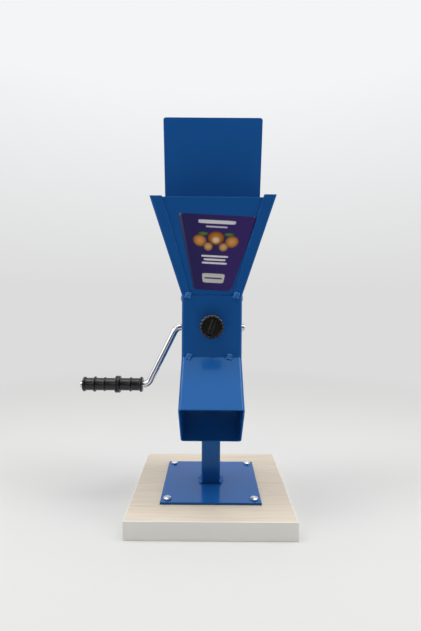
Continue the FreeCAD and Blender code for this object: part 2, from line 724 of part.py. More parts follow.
def make_bush(name, side):
    """Plain bearing through a side wall, its inner end a stop for the roller; side is -1 left, 1 right."""
    body = new_body(name)
    profile = new_sketch(body, name + "_profile", "XZ_Plane")
    draw_rectangle(profile, f"{side} * (inner_half - bush_inside)", f"{side} * (tube_side / 2 + bush_proud)",
                   "rod_diameter / 2 + shaft_clearance", "bush_diameter / 2")
    revolve(body, profile)
    put_at(body, y="shaft_y", z="shaft_height")


def draw_crank_path(sketch):
    """The bar's axis: shaft, bend, slanting arm, bend, grip pin."""
    tangent = number(sketch, "bend_tangent")
    radius = number(sketch, "bend_radius")
    throw = number(sketch, "crank_throw")
    first = Vector(-number(sketch, "crank_out"), 0, 0)
    second = Vector(-number(sketch, "crank_reach"), -throw, 0)
    arm = (second - first).normalize()
    start = Vector(number(sketch, "shaft_end"), 0, 0)
    end = Vector(-number(sketch, "rod_end"), -throw, 0)
    outward = Vector(-1, 0, 0)
    first_in = first - outward * tangent
    first_out = first + arm * tangent
    second_in = second - arm * tangent
    second_out = second + outward * tangent
    first_middle = bend_middle(first, outward, arm, tangent, radius)
    second_middle = bend_middle(second, arm, outward, tangent, radius)
    sketch.addGeometry([
        Part.LineSegment(start, first_in),
        Part.Arc(first_in, first_middle, first_out),
        Part.LineSegment(first_out, second_in),
        Part.Arc(second_in, second_middle, second_out),
        Part.LineSegment(second_out, end),
    ], False)
    shaft, first_bend, slant, second_bend, grip_pin = range(5)
    first_in_end, first_out_end = arc_ends(sketch, first_bend, first_in)
    second_in_end, second_out_end = arc_ends(sketch, second_bend, second_in)
    for first_line, first_end, next_line, next_end in (
            (shaft, 2, first_bend, first_in_end), (first_bend, first_out_end, slant, 1),
            (slant, 2, second_bend, second_in_end), (second_bend, second_out_end, grip_pin, 1)):
        sketch.addConstraint(Sketcher.Constraint("Tangent", first_line, first_end, next_line, next_end))
    bind(sketch, "Radius", first_bend, words="bend_radius")
    bind(sketch, "Radius", second_bend, words="bend_radius")
    place_point(sketch, shaft, 1, "shaft_end", "0")
    sketch.addConstraint(Sketcher.Constraint("Horizontal", shaft))
    bind(sketch, "DistanceX", -1, 1, shaft, 2, words="bend_tangent - crank_out")
    sketch.addConstraint(Sketcher.Constraint("Horizontal", grip_pin))
    place_point(sketch, grip_pin, 2, "-rod_end", "-crank_throw")
    bind(sketch, "DistanceX", -1, 1, grip_pin, 1, words="-crank_reach - bend_tangent")


def bend_middle(corner, coming, leaving, tangent, radius):
    """Middle point of the arc that rounds a corner between two directions."""
    towards_centre = (leaving - coming).normalize()
    centre_distance = (tangent ** 2 + radius ** 2) ** 0.5
    return corner + towards_centre * (centre_distance - radius)


def make_crank_rod():
    """Bright round bar, bent twice: shaft, arm and grip pin in one piece."""
    body = new_body("crank_rod")
    path = new_sketch(body, "crank_path", "XZ_Plane")
    draw_crank_path(path)
    section = new_sketch(body, "crank_section", "YZ_Plane", along="shaft_end")
    draw_circle(section, "rod_diameter")
    doc.recompute()
    bar = add_feature(body, "AdditivePipe", "crank_bar", section)
    bar.Spine = (path, [f"Edge{i}" for i in range(1, 6)])
    doc.recompute()
    drill = new_sketch(body, "rod_cross_hole", "XY_Plane")
    draw_circle(drill, "pin_diameter")
    pocket(body, drill, "2 * rod_diameter", is_symmetric=True)
    put_at(body, y="shaft_y", z="shaft_height")


def make_roller():
    """Crushing roller: a bored cylinder with saw teeth cut along it and a hole for the spring pin."""
    body = new_body("crushing_roller")
    blank = new_sketch(body, "roller_blank", "YZ_Plane")
    draw_circle(blank, "roller_diameter")
    draw_circle(blank, "rod_diameter")
    pad(body, blank, "2 * roller_half", is_symmetric=True)
    gap = new_sketch(body, "tooth_space", "YZ_Plane")
    root = "roller_diameter / 2 - tooth_depth"
    beyond = "(roller_diameter / 2 + tooth_depth)"
    draw_outline(gap, [
        ("0", root),
        ("0", beyond),
        ("-2 * tooth_gap", beyond),
    ])
    space = pocket(body, gap, "2 * roller_half", is_symmetric=True)
    repeat_round(body, [space], "X_Axis", "tooth_count")
    drill = new_sketch(body, "roller_cross_hole", "XY_Plane")
    draw_circle(drill, "pin_diameter")
    pocket(body, drill, "2 * roller_diameter", is_symmetric=True)
    put_at(body, y="shaft_y", z="shaft_height")


def make_roller_pin():
    """Slotted spring pin across roller and shaft, as long as the roller is thick at its tooth roots."""
    body = new_body("roller_pin")
    section = new_sketch(body, "pin_section", "XY_Plane")
    draw_circle(section, "pin_diameter")
    draw_circle(section, "pin_diameter - 2 * pin_wall")
    pad(body, section, "roller_diameter - 2 * tooth_depth", is_symmetric=True)
    slot = new_sketch(body, "pin_slot", "XY_Plane")
    draw_rectangle(slot, "0", "pin_diameter", "-pin_slot / 2", "pin_slot / 2")
    pocket(body, slot, "roller_diameter", is_symmetric=True)
    put_at(body, y="shaft_y", z="shaft_height")


def ring_corners(place, diameter, thickness):
    """The four corners of a ring on the grip, its middle at a place from the inner end."""
    near = f"-({place} - {thickness} / 2)"
    far = f"-({place} + {thickness} / 2)"
    foot = "grip_diameter / 2"
    crest = f"{diameter} / 2"
    return [(near, foot), (near, crest), (far, crest), (far, foot)]


def make_grip():
    """Moulded sleeve that spins on the bar, with a collar, rings and end flanges to hold."""
    body = new_body("crank_grip")
    sleeve = new_sketch(body, "grip_sleeve", "XZ_Plane")
    bore = "rod_diameter / 2 + grip_clearance"
    hollow = "grip_end_diameter / 2"
    rings = (
        ("thumb_ring_place", "thumb_ring_diameter", "ring_thickness"),
        ("collar_place", "collar_diameter", "collar_thickness"),
        ("middle_ring_place", "middle_ring_diameter", "ring_thickness"),
        ("outer_ring_place", "outer_ring_diameter", "ring_thickness"),
        ("grip_length - outer_flange_inset", "flange_diameter", "ring_thickness"),
    )
    draw_outline(sleeve, [
        ("0", bore),
        ("0", "flange_diameter / 2"),
        ("-flange_thickness", "flange_diameter / 2"),
        ("-flange_thickness", "grip_diameter / 2"),
        *[corner for ring in rings for corner in ring_corners(*ring)],
        ("-grip_length", "grip_diameter / 2"),
        ("-grip_length", hollow),
        ("-grip_length + grip_end_depth", hollow),
        ("-grip_length + grip_end_depth", bore),
    ])
    revolve(body, sleeve)
    put_at(body, "-grip_start", "shaft_y", "grip_height")


def make_grip_retainer():
    """Press-on ring that keeps the grip on the bar."""
    body = new_body("grip_retainer")
    section = new_sketch(body, "retainer_section", "YZ_Plane")
    draw_circle(section, "retainer_diameter")
    draw_circle(section, "rod_diameter")
    pad(body, section, "retainer_thickness", is_reversed=True)
    put_at(body, "-grip_start - grip_length + grip_end_depth - retainer_gap", "shaft_y", "grip_height")


def make_jaw():
    """Pressure plate: ridges towards the roller, and a lip bent to the front so that nuts slide in."""
    body = new_body("jaw_plate")
    side = new_sketch(body, "jaw_side_view", "YZ_Plane")
    bend_height = "knob_height + jaw_above_screw"
    lip_thickness = "jaw_thickness * sqrt(1 + (lip_lean / lip_rise) ^ 2)"
    draw_outline(side, [
        ("jaw_back", "jaw_low"),
        ("jaw_face", "jaw_low"),
        ("jaw_face", bend_height),
        (f"jaw_back - lip_lean + {lip_thickness}", f"{bend_height} + lip_rise"),
        ("jaw_back - lip_lean", f"{bend_height} + lip_rise"),
        ("jaw_back", bend_height),
    ])
    pad(body, side, "2 * jaw_half", is_symmetric=True)
    ridge = new_sketch(body, "jaw_ridge", "YZ_Plane")
    foot = "jaw_low + ridge_pitch / 2"
    draw_outline(ridge, [
        ("jaw_face", foot),
        ("jaw_tips", f"{foot} + ridge_height"),
        ("jaw_tips", f"{foot} + ridge_height + ridge_land"),
        ("jaw_face", f"{foot} + 2 * ridge_height + ridge_land"),
    ])
    first_ridge = pad(body, ridge, "2 * jaw_half", is_symmetric=True)
    ridges = add_feature(body, "LinearPattern", "jaw_ridges")
    ridges.Originals = [first_ridge]
    ridges.Direction = (origin_part(body, "Z_Axis"), [""])
    ridges.setExpression("Length", formula("ridge_pitch * (ridge_count - 1)"))
    ridges.setExpression("Occurrences", formula("ridge_count"))
    neck_hole = new_sketch(body, "neck_hole", "XZ_Plane", along="-jaw_tips")
    draw_circle(neck_hole, "neck_diameter + 2 * swivel_clearance", "0", "knob_height")
    pocket(body, neck_hole, "2 * jaw_thickness", is_reversed=True)
    rivet_seat = new_sketch(body, "rivet_seat", "XZ_Plane", along="-jaw_tips")
    draw_circle(rivet_seat, "rivet_diameter + 4 * swivel_clearance", "0", "knob_height")
    seat_depth = "jaw_thickness + ridge_height - neck_length + swivel_clearance"
    pocket(body, rivet_seat, seat_depth, is_reversed=True)


def make_rails():
    """Two ledges on the side walls under the jaw."""
    body = new_body("jaw_guide_rails")
    ledge = new_sketch(body, "rail_section", "XZ_Plane", along="-inner_front - rail_front_gap - rail_length")
    top = "jaw_low - rail_clearance"
    draw_rectangle(ledge, "inner_half - rail_width", "inner_half", f"{top} - rail_thickness", top)
    rail = pad(body, ledge, "rail_length")
    repeat_mirrored(body, [rail], "YZ_Plane")


def make_adjuster_nut():
    """Hexagon nut welded behind the front wall."""
    body = new_body("adjuster_nut")
    hexagon = new_sketch(body, "nut_hexagon", "XZ_Plane", along="-inner_front - nut_thickness")
    half = "nut_width / 2"
    corner = "nut_width / sqrt(3)"
    low = f"knob_height - {half}"
    high = f"knob_height + {half}"
    draw_outline(hexagon, [
        (corner, "knob_height"),
        (f"{corner} / 2", high),
        (f"-{corner} / 2", high),
        (f"-{corner}", "knob_height"),
        (f"-{corner} / 2", low),
        (f"{corner} / 2", low),
    ])
    draw_circle(hexagon, "adjuster_diameter + 2 * adjuster_clearance", "0", "knob_height")
    pad(body, hexagon, "nut_thickness")


def make_adjuster_screw():
    """Screw with one end moulded into the knob and the other turned down and riveted over in the jaw."""
    body = new_body("adjuster_screw")
    profile = new_sketch(body, "adjuster_profile", "YZ_Plane")
    shank = "adjuster_diameter / 2"
    neck = "neck_diameter / 2"
    rivet = "rivet_diameter / 2"
    shoulder = "jaw_back - swivel_clearance"
    rivet_back = "jaw_back + neck_length"
    draw_outline(profile, [
        ("adjuster_front", "0"),
        ("adjuster_front", shank),
        (shoulder, shank),
        (shoulder, neck),
        (rivet_back, neck),
        (rivet_back, rivet),
        (f"{rivet_back} + rivet_thickness", rivet),
        (f"{rivet_back} + rivet_thickness", "0"),
    ])
    revolve(body, profile)
    put_at(body, z="knob_height")


def make_knob():
    """Fluted knob with a hollow face and a bar across it, moulded round the screw's end."""
    body = new_body("adjuster_knob")
    disc = new_sketch(body, "knob_disc", "XZ_Plane", along="-knob_back")
    draw_circle(disc, "knob_diameter")
    pad(body, disc, "knob_thickness")
    flute = new_sketch(body, "knob_flute", "XZ_Plane", along="-knob_back")
    beyond = "(flute_width - flute_floor / 2)"
    draw_outline(flute, [
        ("-flute_floor / 2", "knob_diameter / 2 - flute_depth"),
        ("flute_floor / 2", "knob_diameter / 2 - flute_depth"),
        (beyond, "knob_diameter / 2 + flute_depth"),
        (f"-{beyond}", "knob_diameter / 2 + flute_depth"),
    ])
    notch = pocket(body, flute, "knob_thickness", is_reversed=True)
    repeat_round(body, [notch], "Y_Axis", "flute_count")
    recess = new_sketch(body, "knob_face_recess", "XZ_Plane", along="-knob_front")
    draw_circle(recess, "face_recess_diameter")
    pocket(body, recess, "face_recess_depth")
    bar = new_sketch(body, "knob_face_bar", "XZ_Plane", along="-knob_front - face_recess_depth")
    bar.setExpression("AttachmentOffset.Rotation.Angle", formula("-face_bar_lean * 1deg"))
    draw_rectangle(bar, "-face_bar_width / 2", "face_bar_width / 2",
                   "-face_recess_diameter / 2", "face_recess_diameter / 2")
    pad(body, bar, "face_recess_depth - face_bar_drop")
    socket = new_sketch(body, "screw_socket", "XZ_Plane", along="-knob_back")
    draw_circle(socket, "adjuster_diameter")
    pocket(body, socket, "knob_back - adjuster_front", is_reversed=True)
    put_at(body, z="knob_height")


def check_and_write():
    """Refuse a failed feature or an empty or broken solid, then write one file per node."""
    doc.recompute()
    for item in doc.Objects:
        if "Invalid" in item.State or "Error" in item.State:
            raise RuntimeError(f"{item.Name} failed: {item.State}")
    os.makedirs("parts", exist_ok=True)
    for node in nodes:
        shape = node.Shape
        if shape.isNull() or not shape.isValid() or not shape.Solids:
            raise RuntimeError(f"{node.Label} has no valid solid")
        shape.exportStep(f"parts/{node.Label}.step")
        print(f"{node.Label}: {len(shape.Solids)} solid(s), {shape.Volume:.0f} cubic mm")


write_sheet("Sizes", SIZES, is_worked_out=False)
doc.recompute()
write_sheet("Places", PLACES, is_worked_out=True)
doc.recompute()

make_board()
make_edge_bands()
make_plate()
make_foot_screws()
make_post()
make_foot_weld()
make_body_tube()
make_chute()
make_chute_tacks()
make_hopper_side("hopper_left_panel", -1)
make_hopper_side("hopper_right_panel", 1)
make_front_panel()
make_back_panel()
make_hopper_tacks()
make_bush("shaft_bush_left", -1)
make_bush("shaft_bush_right", 1)
make_adjuster_nut()
make_rails()
make_crank_rod()
make_roller()
make_roller_pin()
make_grip()
make_grip_retainer()
make_jaw()
make_adjuster_screw()
make_knob()
check_and_write()
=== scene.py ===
"""Looks of a hand-cranked nut cracker: painted sheet steel on a board, a bent crank, black grip and knob.

Everything is in metres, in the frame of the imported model. Sizes and colours that a user would change are
properties of the scene.
"""

import math

import bmesh
import bpy
import numpy as np
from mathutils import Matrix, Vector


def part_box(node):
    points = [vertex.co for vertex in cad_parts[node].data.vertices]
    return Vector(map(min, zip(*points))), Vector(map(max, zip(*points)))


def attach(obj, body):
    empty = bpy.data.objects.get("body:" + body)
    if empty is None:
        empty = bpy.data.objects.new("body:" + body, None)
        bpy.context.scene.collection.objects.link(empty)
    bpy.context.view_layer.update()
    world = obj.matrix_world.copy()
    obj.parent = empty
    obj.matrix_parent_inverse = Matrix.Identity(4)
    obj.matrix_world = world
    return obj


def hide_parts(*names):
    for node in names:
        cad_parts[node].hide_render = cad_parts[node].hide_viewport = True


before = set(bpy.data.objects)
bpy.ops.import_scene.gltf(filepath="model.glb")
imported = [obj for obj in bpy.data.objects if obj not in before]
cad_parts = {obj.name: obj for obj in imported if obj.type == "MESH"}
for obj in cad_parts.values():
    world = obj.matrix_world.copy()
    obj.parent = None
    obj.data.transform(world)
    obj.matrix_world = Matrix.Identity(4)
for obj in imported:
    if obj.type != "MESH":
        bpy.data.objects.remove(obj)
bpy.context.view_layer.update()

bl_info = {
    "name": "Crank nut cracker",
    "version": (1, 0, 0),
    "blender": (4, 5, 0),
    "location": "3D View > Sidebar > Nut cracker",
    "description": "Builds the pieces, finishes and studio of a crank nut cracker",
    "category": "Object",
}

MM = 0.001


# Colours and sizes that a user would change


def linear(hex_colour):
    """Linear red, green and blue of an sRGB hex colour."""
    channels = np.array([int(hex_colour[i:i + 2], 16) for i in (1, 3, 5)]) / 255
    dark, light = channels / 12.92, ((channels + 0.055) / 1.055) ** 2.4
    return tuple(np.where(channels <= 0.04045, dark, light).tolist())


def colour(name, description, hex_colour):
    """Colour property with a default written as sRGB hex."""
    return bpy.props.FloatVectorProperty(name=name, description=description, subtype="COLOR", size=3,
                                         min=0, max=1, default=linear(hex_colour))


def length(name, description, millimetres):
    """Length property with a default in millimetres."""
    return bpy.props.FloatProperty(name=name, description=description, subtype="DISTANCE", unit="LENGTH",
                                   default=millimetres * MM, precision=5)


def count(name, description, number):
    """Whole-number property."""
    return bpy.props.IntProperty(name=name, description=description, default=number, min=1)


def amount(name, description, number, **kind):
    """Number property."""
    return bpy.props.FloatProperty(name=name, description=description, default=number, **kind)


class FinishColours(bpy.types.PropertyGroup):
    """Colours of the machine's finishes."""

    coat: colour("Blue coat", "Powder coat on all sheet steel", "#1b5ca6")
    coat_thin: colour("Thin coat", "Powder coat where it lies a little thinner", "#1e5fab")
    # Painted highlight: the welds' lighter colour stands in for the top light they catch.
    weld_painted_highlight: colour("Coat on welds", "Powder coat drawn thin over the crests of a weld", "#3474c0")
    # Painted shade: the coat darkens to this colour in corners, crevices and inside the tubes.
    coat_painted_shade: colour("Deep coat", "Powder coat where it has run into a corner", "#0f1a34")
    coat_sheen: colour("Coat sheen", "What the powder coat mirrors is tinged with its own blue", "#a4dcff")
    board: colour("Board", "Ground of the board's printed grain", "#e8dbc8")
    grain: colour("Grain", "Darker streaks of the board's printed grain", "#d9cab6")
    band: colour("Edge band", "Plastic strip round the board", "#fffdf8")
    zinc: colour("Zinc", "Plated foot screws", "#e8eaed")
    chrome: colour("Chrome", "Plated bar", "#cfd0d3")
    steel: colour("Steel", "Bare machined steel inside the housing", "#8d8f93")
    bronze: colour("Bronze", "Shaft bushes", "#a98450")
    grip: colour("Grip", "Moulded sleeve on the crank", "#0c0c0e")
    knob: colour("Knob", "Moulded adjuster knob", "#11110f")
    label_left: colour("Label, left", "Printed ground at the label's left edge", "#2a235e")
    label_right: colour("Label, right", "Printed ground at the label's right edge", "#3f2a74")
    paper: colour("Studio paper", "Floor under the machine", "#e2e2e0")
    # The wall glows; its painted light goes from the wall colour at table height to the upper wall colour.
    wall: colour("Studio wall", "Wall behind the machine at table height", "#dcdcdc")
    wall_top: colour("Upper wall", "Wall behind the machine high up", "#f4f5f7")


class PieceSizes(bpy.types.PropertyGroup):
    """Sizes of the forms that are finer than the solids."""

    paint_edge: length("Painted edge", "Rounding of a cut sheet edge under its paint", 0.5)
    sawn_edge: length("Sawn edge", "Rounding of a sawn tube end under its paint", 0.2)
    band_edge: length("Band edge", "Rounding of the trimmed edge band", 0.9)
    band_corner: length("Band corner", "Rounding of the edge band at the board's corners", 0.4)
    steel_edge: length("Steel edge", "Broken edge of the machined pieces", 0.2)
    bar_chamfer: length("Bar chamfer", "Chamfer at both ends of the bar", 0.8)
    bend_radius: length("Bend radius", "Both bends of the bar, at its axis", 12)
    ring_edge: length("Ring edge", "Rounding of the grip's rings", 1.1)
    weld_ripple: length("Weld ripple", "From one ripple of a weld bead to the next", 2.4)
    tack_leg: length("Tack leg", "Weld tack, its reach from the joint on each side", 5.6)
    tack_length: length("Tack length", "Weld tack, along the joint", 10)
    thread_pitch: length("Thread pitch", "Adjuster screw", 1.25)
    thread_depth: length("Thread depth", "Adjuster screw", 0.68)
    recess_width: length("Recess width", "Arms of the cross recess in a foot screw", 1.0)
    recess_depth: length("Recess depth", "Cross recess in a foot screw", 0.9)
    label_thickness: length("Label thickness", "Printed film on the hopper", 0.15)
    label_corner: length("Label corner", "Rounding of the label's corners", 4)
    flutes: count("Flutes", "Flutes round the knob", 16)


class StudioSettings(bpy.types.PropertyGroup):
    """Camera and light."""

    camera_distance: length("Camera distance", "Camera in front of the post's axis", 577)
    camera_height: length("Camera height", "Camera above the floor", 284)
    camera_side: length("Camera side", "Camera to the right of the post's axis", -2.1)
    lens: amount("Lens", "Focal length", 24.0, subtype="DISTANCE_CAMERA", unit="CAMERA")
    horizon_shift: amount("Horizon shift", "Vertical shift of the lens", -0.039)
    roll: amount("Roll", "Camera's lean about its view", math.radians(-0.4), subtype="ANGLE",
                 unit="ROTATION")
    lamp_power: amount("Lamp power", "Light that each lamp gives a share of", 16.3, subtype="POWER",
                       unit="POWER", min=0)
    sky: amount("Room light", "Strength of the room's even light", 1.0, min=0)


def box_of(node):
    """Lowest and highest corner of a solid, as arrays."""
    low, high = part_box(node)
    return np.array(low), np.array(high)


def size_of(node):
    """Width, depth and height of a solid's box in millimetres."""
    low, high = box_of(node)
    return (high - low) / MM


def face_of(node, side):
    """Middle of the right face of a solid's box where the side is 1, and of the left face where it is -1."""
    low, high = box_of(node)
    centre = (low + high) / 2
    centre[0] = high[0] if side > 0 else low[0]
    return centre


# Surfaces as arrays of points


def grid_faces(rows, columns, joins_rows=False, joins_columns=True):
    """Quads between neighbouring points of a grid, numbered row by row.

    A joined direction closes on itself.
    """
    row = np.arange(rows if joins_rows else rows - 1)[:, None]
    column = np.arange(columns if joins_columns else columns - 1)[None, :]
    next_row, next_column = (row + 1) % rows, (column + 1) % columns
    corners = (row * columns + column, row * columns + next_column,
               next_row * columns + next_column, next_row * columns + column)
    return np.stack(corners, -1).reshape(-1, 4)


def rounded(corners, radii, steps=4):
    """Outline whose corners are replaced by arcs that touch both sides.

    Each arc lies round a centre on the corner's bisector, and its points turn evenly from one touching point
    to the other. A radius of 0 keeps the corner sharp, and the two ends of an open outline get that.
    """
    corners = np.asarray(corners, float)
    radii = np.broadcast_to(np.asarray(radii, float), len(corners))[:, None]
    back = np.roll(corners, 1, 0) - corners
    ahead = np.roll(corners, -1, 0) - corners
    back /= np.linalg.norm(back, axis=1, keepdims=True)
    ahead /= np.linalg.norm(ahead, axis=1, keepdims=True)
    half = np.arccos(np.clip((back * ahead).sum(1, keepdims=True), -1, 1)) / 2
    half = np.clip(half, 1e-3, math.pi / 2 - 1e-3)
    middle = back + ahead
    middle /= np.maximum(np.linalg.norm(middle, axis=1, keepdims=True), 1e-9)
    centre = corners + middle * radii / np.sin(half)
    start = corners + back * radii / np.tan(half) - centre
    end = corners + ahead * radii / np.tan(half) - centre
    turn = (math.pi - 2 * half)[:, None]
    share = np.linspace(0, 1, steps + 1)[None, :, None]
    arc = (np.sin((1 - share) * turn) * start[:, None] + np.sin(share * turn) * end[:, None]) / np.sin(turn)
    return (centre[:, None] + arc).reshape(-1, corners.shape[1])


def angles(segments):
    """Equal steps round a full turn."""
    return np.arange(segments) * 2 * math.pi / segments


def inside(distance, limit, edge):
    """1 within the limit and 0 beyond it, going over in a curve as wide as the edge."""
    return 1 / (1 + np.exp((distance - limit) / edge))


def about_upright(points, turn):
    """Points turned about the upright axis: x and y mix by the turn's cosine and sine."""
    x = points[..., 0] * math.cos(turn) - points[..., 1] * math.sin(turn)
    y = points[..., 0] * math.sin(turn) + points[..., 1] * math.cos(turn)
    return np.stack((x, y, points[..., 2]), -1)


def turned(outline, centre, along, segments=64):
    """Surface of revolution.

    The outline holds (place along the axis, radius) pairs in millimetres; each point goes round the axis,
    so a row of the grid is one outline point and a column is one angle.
    """
    place, radius = (np.asarray(outline, float) * MM).T
    along = np.asarray(along, float)
    side = np.cross(along, (0.0, 0.6, 0.8) if abs(along[0]) > 0.5 else (1.0, 0.0, 0.0))
    side /= np.linalg.norm(side)
    angle = angles(segments)
    around = np.cos(angle)[:, None] * side + np.sin(angle)[:, None] * np.cross(along, side)
    return np.asarray(centre, float) + place[:, None, None] * along + radius[:, None, None] * around[None]


def new_mesh(name, points, faces):
    """Mesh of an array of points and an array of faces."""
    mesh = bpy.data.meshes.new(name)
    mesh.from_pydata(points.reshape(-1, 3).tolist(), [], faces.tolist())
    return mesh


def add_piece(name, body, finish, grids, sharp=35, is_ring=False):
    """One object on a body from one grid or several of equal size, smooth up to the sharp angle in degrees.

    Each grid's columns join up, and its rows too where it is a ring.
    """
    grids = np.asarray(grids)
    rows, columns = grids.shape[-3:-1]
    first = np.arange(grids.size // (3 * rows * columns))[:, None, None] * rows * columns
    mesh = new_mesh(name, grids, (first + grid_faces(rows, columns, is_ring)).reshape(-1, 4))
    clean(mesh)
    return finish_piece(name, body, finish, mesh, sharp)


def clean(mesh):
    """Merges doubles, drops what has no area and turns the faces outwards."""
    work = bmesh.new()
    work.from_mesh(mesh)
    bmesh.ops.remove_doubles(work, verts=work.verts, dist=2e-6)
    bmesh.ops.dissolve_degenerate(work, edges=work.edges, dist=1e-6)
    bmesh.ops.recalc_face_normals(work, faces=work.faces)
    work.to_mesh(mesh)
    work.free()


def finish_piece(name, body, finish, mesh, sharp):
    """Puts a mesh into the scene with its material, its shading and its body."""
    mesh.shade_smooth()
    mesh.set_sharp_from_angle(angle=math.radians(sharp))
    mesh.materials.clear()
    mesh.materials.append(material(finish))
    piece = bpy.data.objects.new(name, mesh)
    bpy.context.scene.collection.objects.link(piece)
    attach(piece, body)
    return piece


def give(thing, **settings):
    """Sets several attributes of one thing."""
    for name, value in settings.items():
        setattr(thing, name, value)


def add_modifier(piece, name, kind, **settings):
    """Adds a modifier with its settings."""
    give(piece.modifiers.new(name, kind), **settings)


def soften(node, name, body, finish, edge, sharp=28):
    """Copy of a solid with its flat faces made whole and its edges rounded, in place of the solid."""
    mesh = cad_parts[node].data.copy()
    mesh.name = name
    work = bmesh.new()
    work.from_mesh(mesh)
    bmesh.ops.remove_doubles(work, verts=work.verts, dist=1e-6)
    bmesh.ops.dissolve_limit(work, angle_limit=math.radians(0.5), verts=work.verts, edges=work.edges)
    work.to_mesh(mesh)
    work.free()
    piece = finish_piece(name, body, finish, mesh, sharp)
    add_modifier(piece, "rounded edges", "BEVEL", width=edge, segments=2, limit_method="ANGLE",
                 angle_limit=math.radians(sharp), use_clamp_overlap=False, harden_normals=True)
    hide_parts(node)
    return piece


# Finishes


def wire(tree, node, inputs):
    """Sets a node's inputs, each to a value, a socket's link or the link of a node's first output."""
    for name, value in inputs.items():
        if isinstance(value, bpy.types.Node):
            value = value.outputs[0]
        if isinstance(value, bpy.types.NodeSocket):
            tree.links.new(value, node.inputs[name])
        else:
            node.inputs[name].default_value = value


def add_node(tree, kind, inputs=None, **settings):
    """Adds a shader node with its settings, values and links."""
    node = tree.nodes.new("ShaderNode" + kind)
    give(node, **settings)
    wire(tree, node, inputs or {})
    return node


def opaque(channels):
    """Red, green and blue with full opacity."""
    return (*channels, 1.0)


def paint(name):
    """A finish colour, opaque."""
    return opaque(getattr(bpy.context.scene.nut_cracker_colours, name))


def new_finish(name):
    """Empty material: its node tree, its main shader and the object's own coordinates."""
    made = bpy.data.materials.new(name)
    made.use_nodes = True
    tree = made.node_tree
    tree.nodes.clear()
    shader = add_node(tree, "BsdfPrincipled")
    add_node(tree, "OutputMaterial", {"Surface": shader})
    place = add_node(tree, "TexCoord").outputs["Object"]
    return made, tree, shader, place


def noise(tree, place, spot, detail):
    """Noise whose spots are this many millimetres wide."""
    return add_node(tree, "TexNoise", {"Vector": place, "Scale": 1 / (spot * MM), "Detail": detail})


def stretched_noise(tree, place, scales, **more):
    """Noise with a scale of its own along each axis."""
    stretched = add_node(tree, "Mapping", {"Vector": place, "Scale": scales})
    return add_node(tree, "TexNoise", {"Vector": stretched, "Scale": 1.0, **more})


def ramp(tree, value, low, high, start, end, **settings):
    """Goes from start to end while the value goes from low to high."""
    return add_node(tree, "MapRange", {"Value": value, "From Min": low, "From Max": high,
                                       "To Min": start, "To Max": end}, **settings)


def calculate(tree, operation, *values):
    """One step of arithmetic."""
    return add_node(tree, "Math", dict(enumerate(values)), operation=operation)


def blend(tree, share, first, second):
    """Colour between two others."""
    return add_node(tree, "Mix", {0: share, 6: first, 7: second}, data_type="RGBA").outputs[2]


def relief(tree, height, strength, depth):
    """Fine unevenness of a surface, its depth in millimetres."""
    return add_node(tree, "Bump", {"Height": height, "Strength": strength, "Distance": depth * MM})


def painted_shade_share(tree, reach, shut, clear, most):
    """Share of painted shade in a corner: the most where the space within reach is shut, 0 where it is
    clear.
    """
    around = add_node(tree, "AmbientOcclusion", {"Distance": reach * MM}, samples=6)
    return ramp(tree, around.outputs["AO"], shut, clear, most, 0.0)


def blue_powder_coat():
    """Polyester powder coat baked on steel: glossy, with a faint orange peel that softens reflections.

    Painted shade darkens the coat in corners, and inside the tubes and near large parts, where the space
    around is shut.
    """
    made, tree, shader, place = new_finish("blue_powder_coat")
    peel = noise(tree, place, 1.6, 1.0)
    cloud = noise(tree, place, 45, 2.0)
    tone = blend(tree, cloud, paint("coat"), paint("coat_thin"))
    # Painted shade, in fine crevices and where the space within 70 mm is shut.
    for corner in (painted_shade_share(tree, 3.5, 0.3, 0.6, 0.35), painted_shade_share(tree, 70, 0.25, 0.56, 0.97)):
        tone = blend(tree, corner, tone, paint("coat_painted_shade"))
    wire(tree, shader, {"Base Color": tone, "Roughness": ramp(tree, cloud, 0, 1, 0.13, 0.22),
                        "Normal": relief(tree, peel, 0.12, 0.12), "IOR": 1.5,
                        "Specular Tint": paint("coat_sheen")})
    return made


def weld_powder_coat():
    """The same coat over weld ripples: painted lighter all over as a painted highlight, with painted shade
    in the root.
    """
    made, tree, shader, place = new_finish("weld_powder_coat")
    ripple = noise(tree, place, 1.2, 2.0)
    # Painted highlight where the weld is open, painted shade in its root.
    tone = blend(tree, painted_shade_share(tree, 2.5, 0.25, 0.6, 0.7), paint("weld_painted_highlight"), paint("coat_painted_shade"))
    wire(tree, shader, {"Base Color": tone, "Roughness": 0.3, "Normal": relief(tree, ripple, 0.3, 0.2),
                        "IOR": 1.5, "Specular Tint": paint("coat_sheen")})
    return made


def melamine_grain():
    """Melamine paper on chipboard: a printed pale wood grain that runs along X under a satin film."""
    made, tree, shader, place = new_finish("melamine_grain")
    streak = stretched_noise(tree, place, (14, 260, 260), Detail=4.0, Roughness=0.6, Distortion=0.5)
    pore = stretched_noise(tree, place, (35, 1100, 1100), Detail=2.0)
    streaks, pores = ramp(tree, streak, 0.42, 0.72, 0, 1), ramp(tree, pore, 0.5, 0.8, 0, 0.35)
    tone = blend(tree, calculate(tree, "MAXIMUM", streaks, pores), paint("board"), paint("grain"))
    wire(tree, shader, {"Base Color": tone, "Roughness": 0.42, "Normal": relief(tree, pore, 0.1, 0.1)})
    return made


def edge_band_plastic():
    """Extruded ABS edge band: pale and smooth, with faint lines along it from the die."""
    made, tree, shader, place = new_finish("edge_band_plastic")
    lines = stretched_noise(tree, place, (5, 5, 700), Detail=2.0)
    band = paint("band")
    darker = opaque(0.94 * np.array(band[:3]))
    wire(tree, shader, {"Base Color": blend(tree, lines, band, darker), "Roughness": 0.38})
    return made


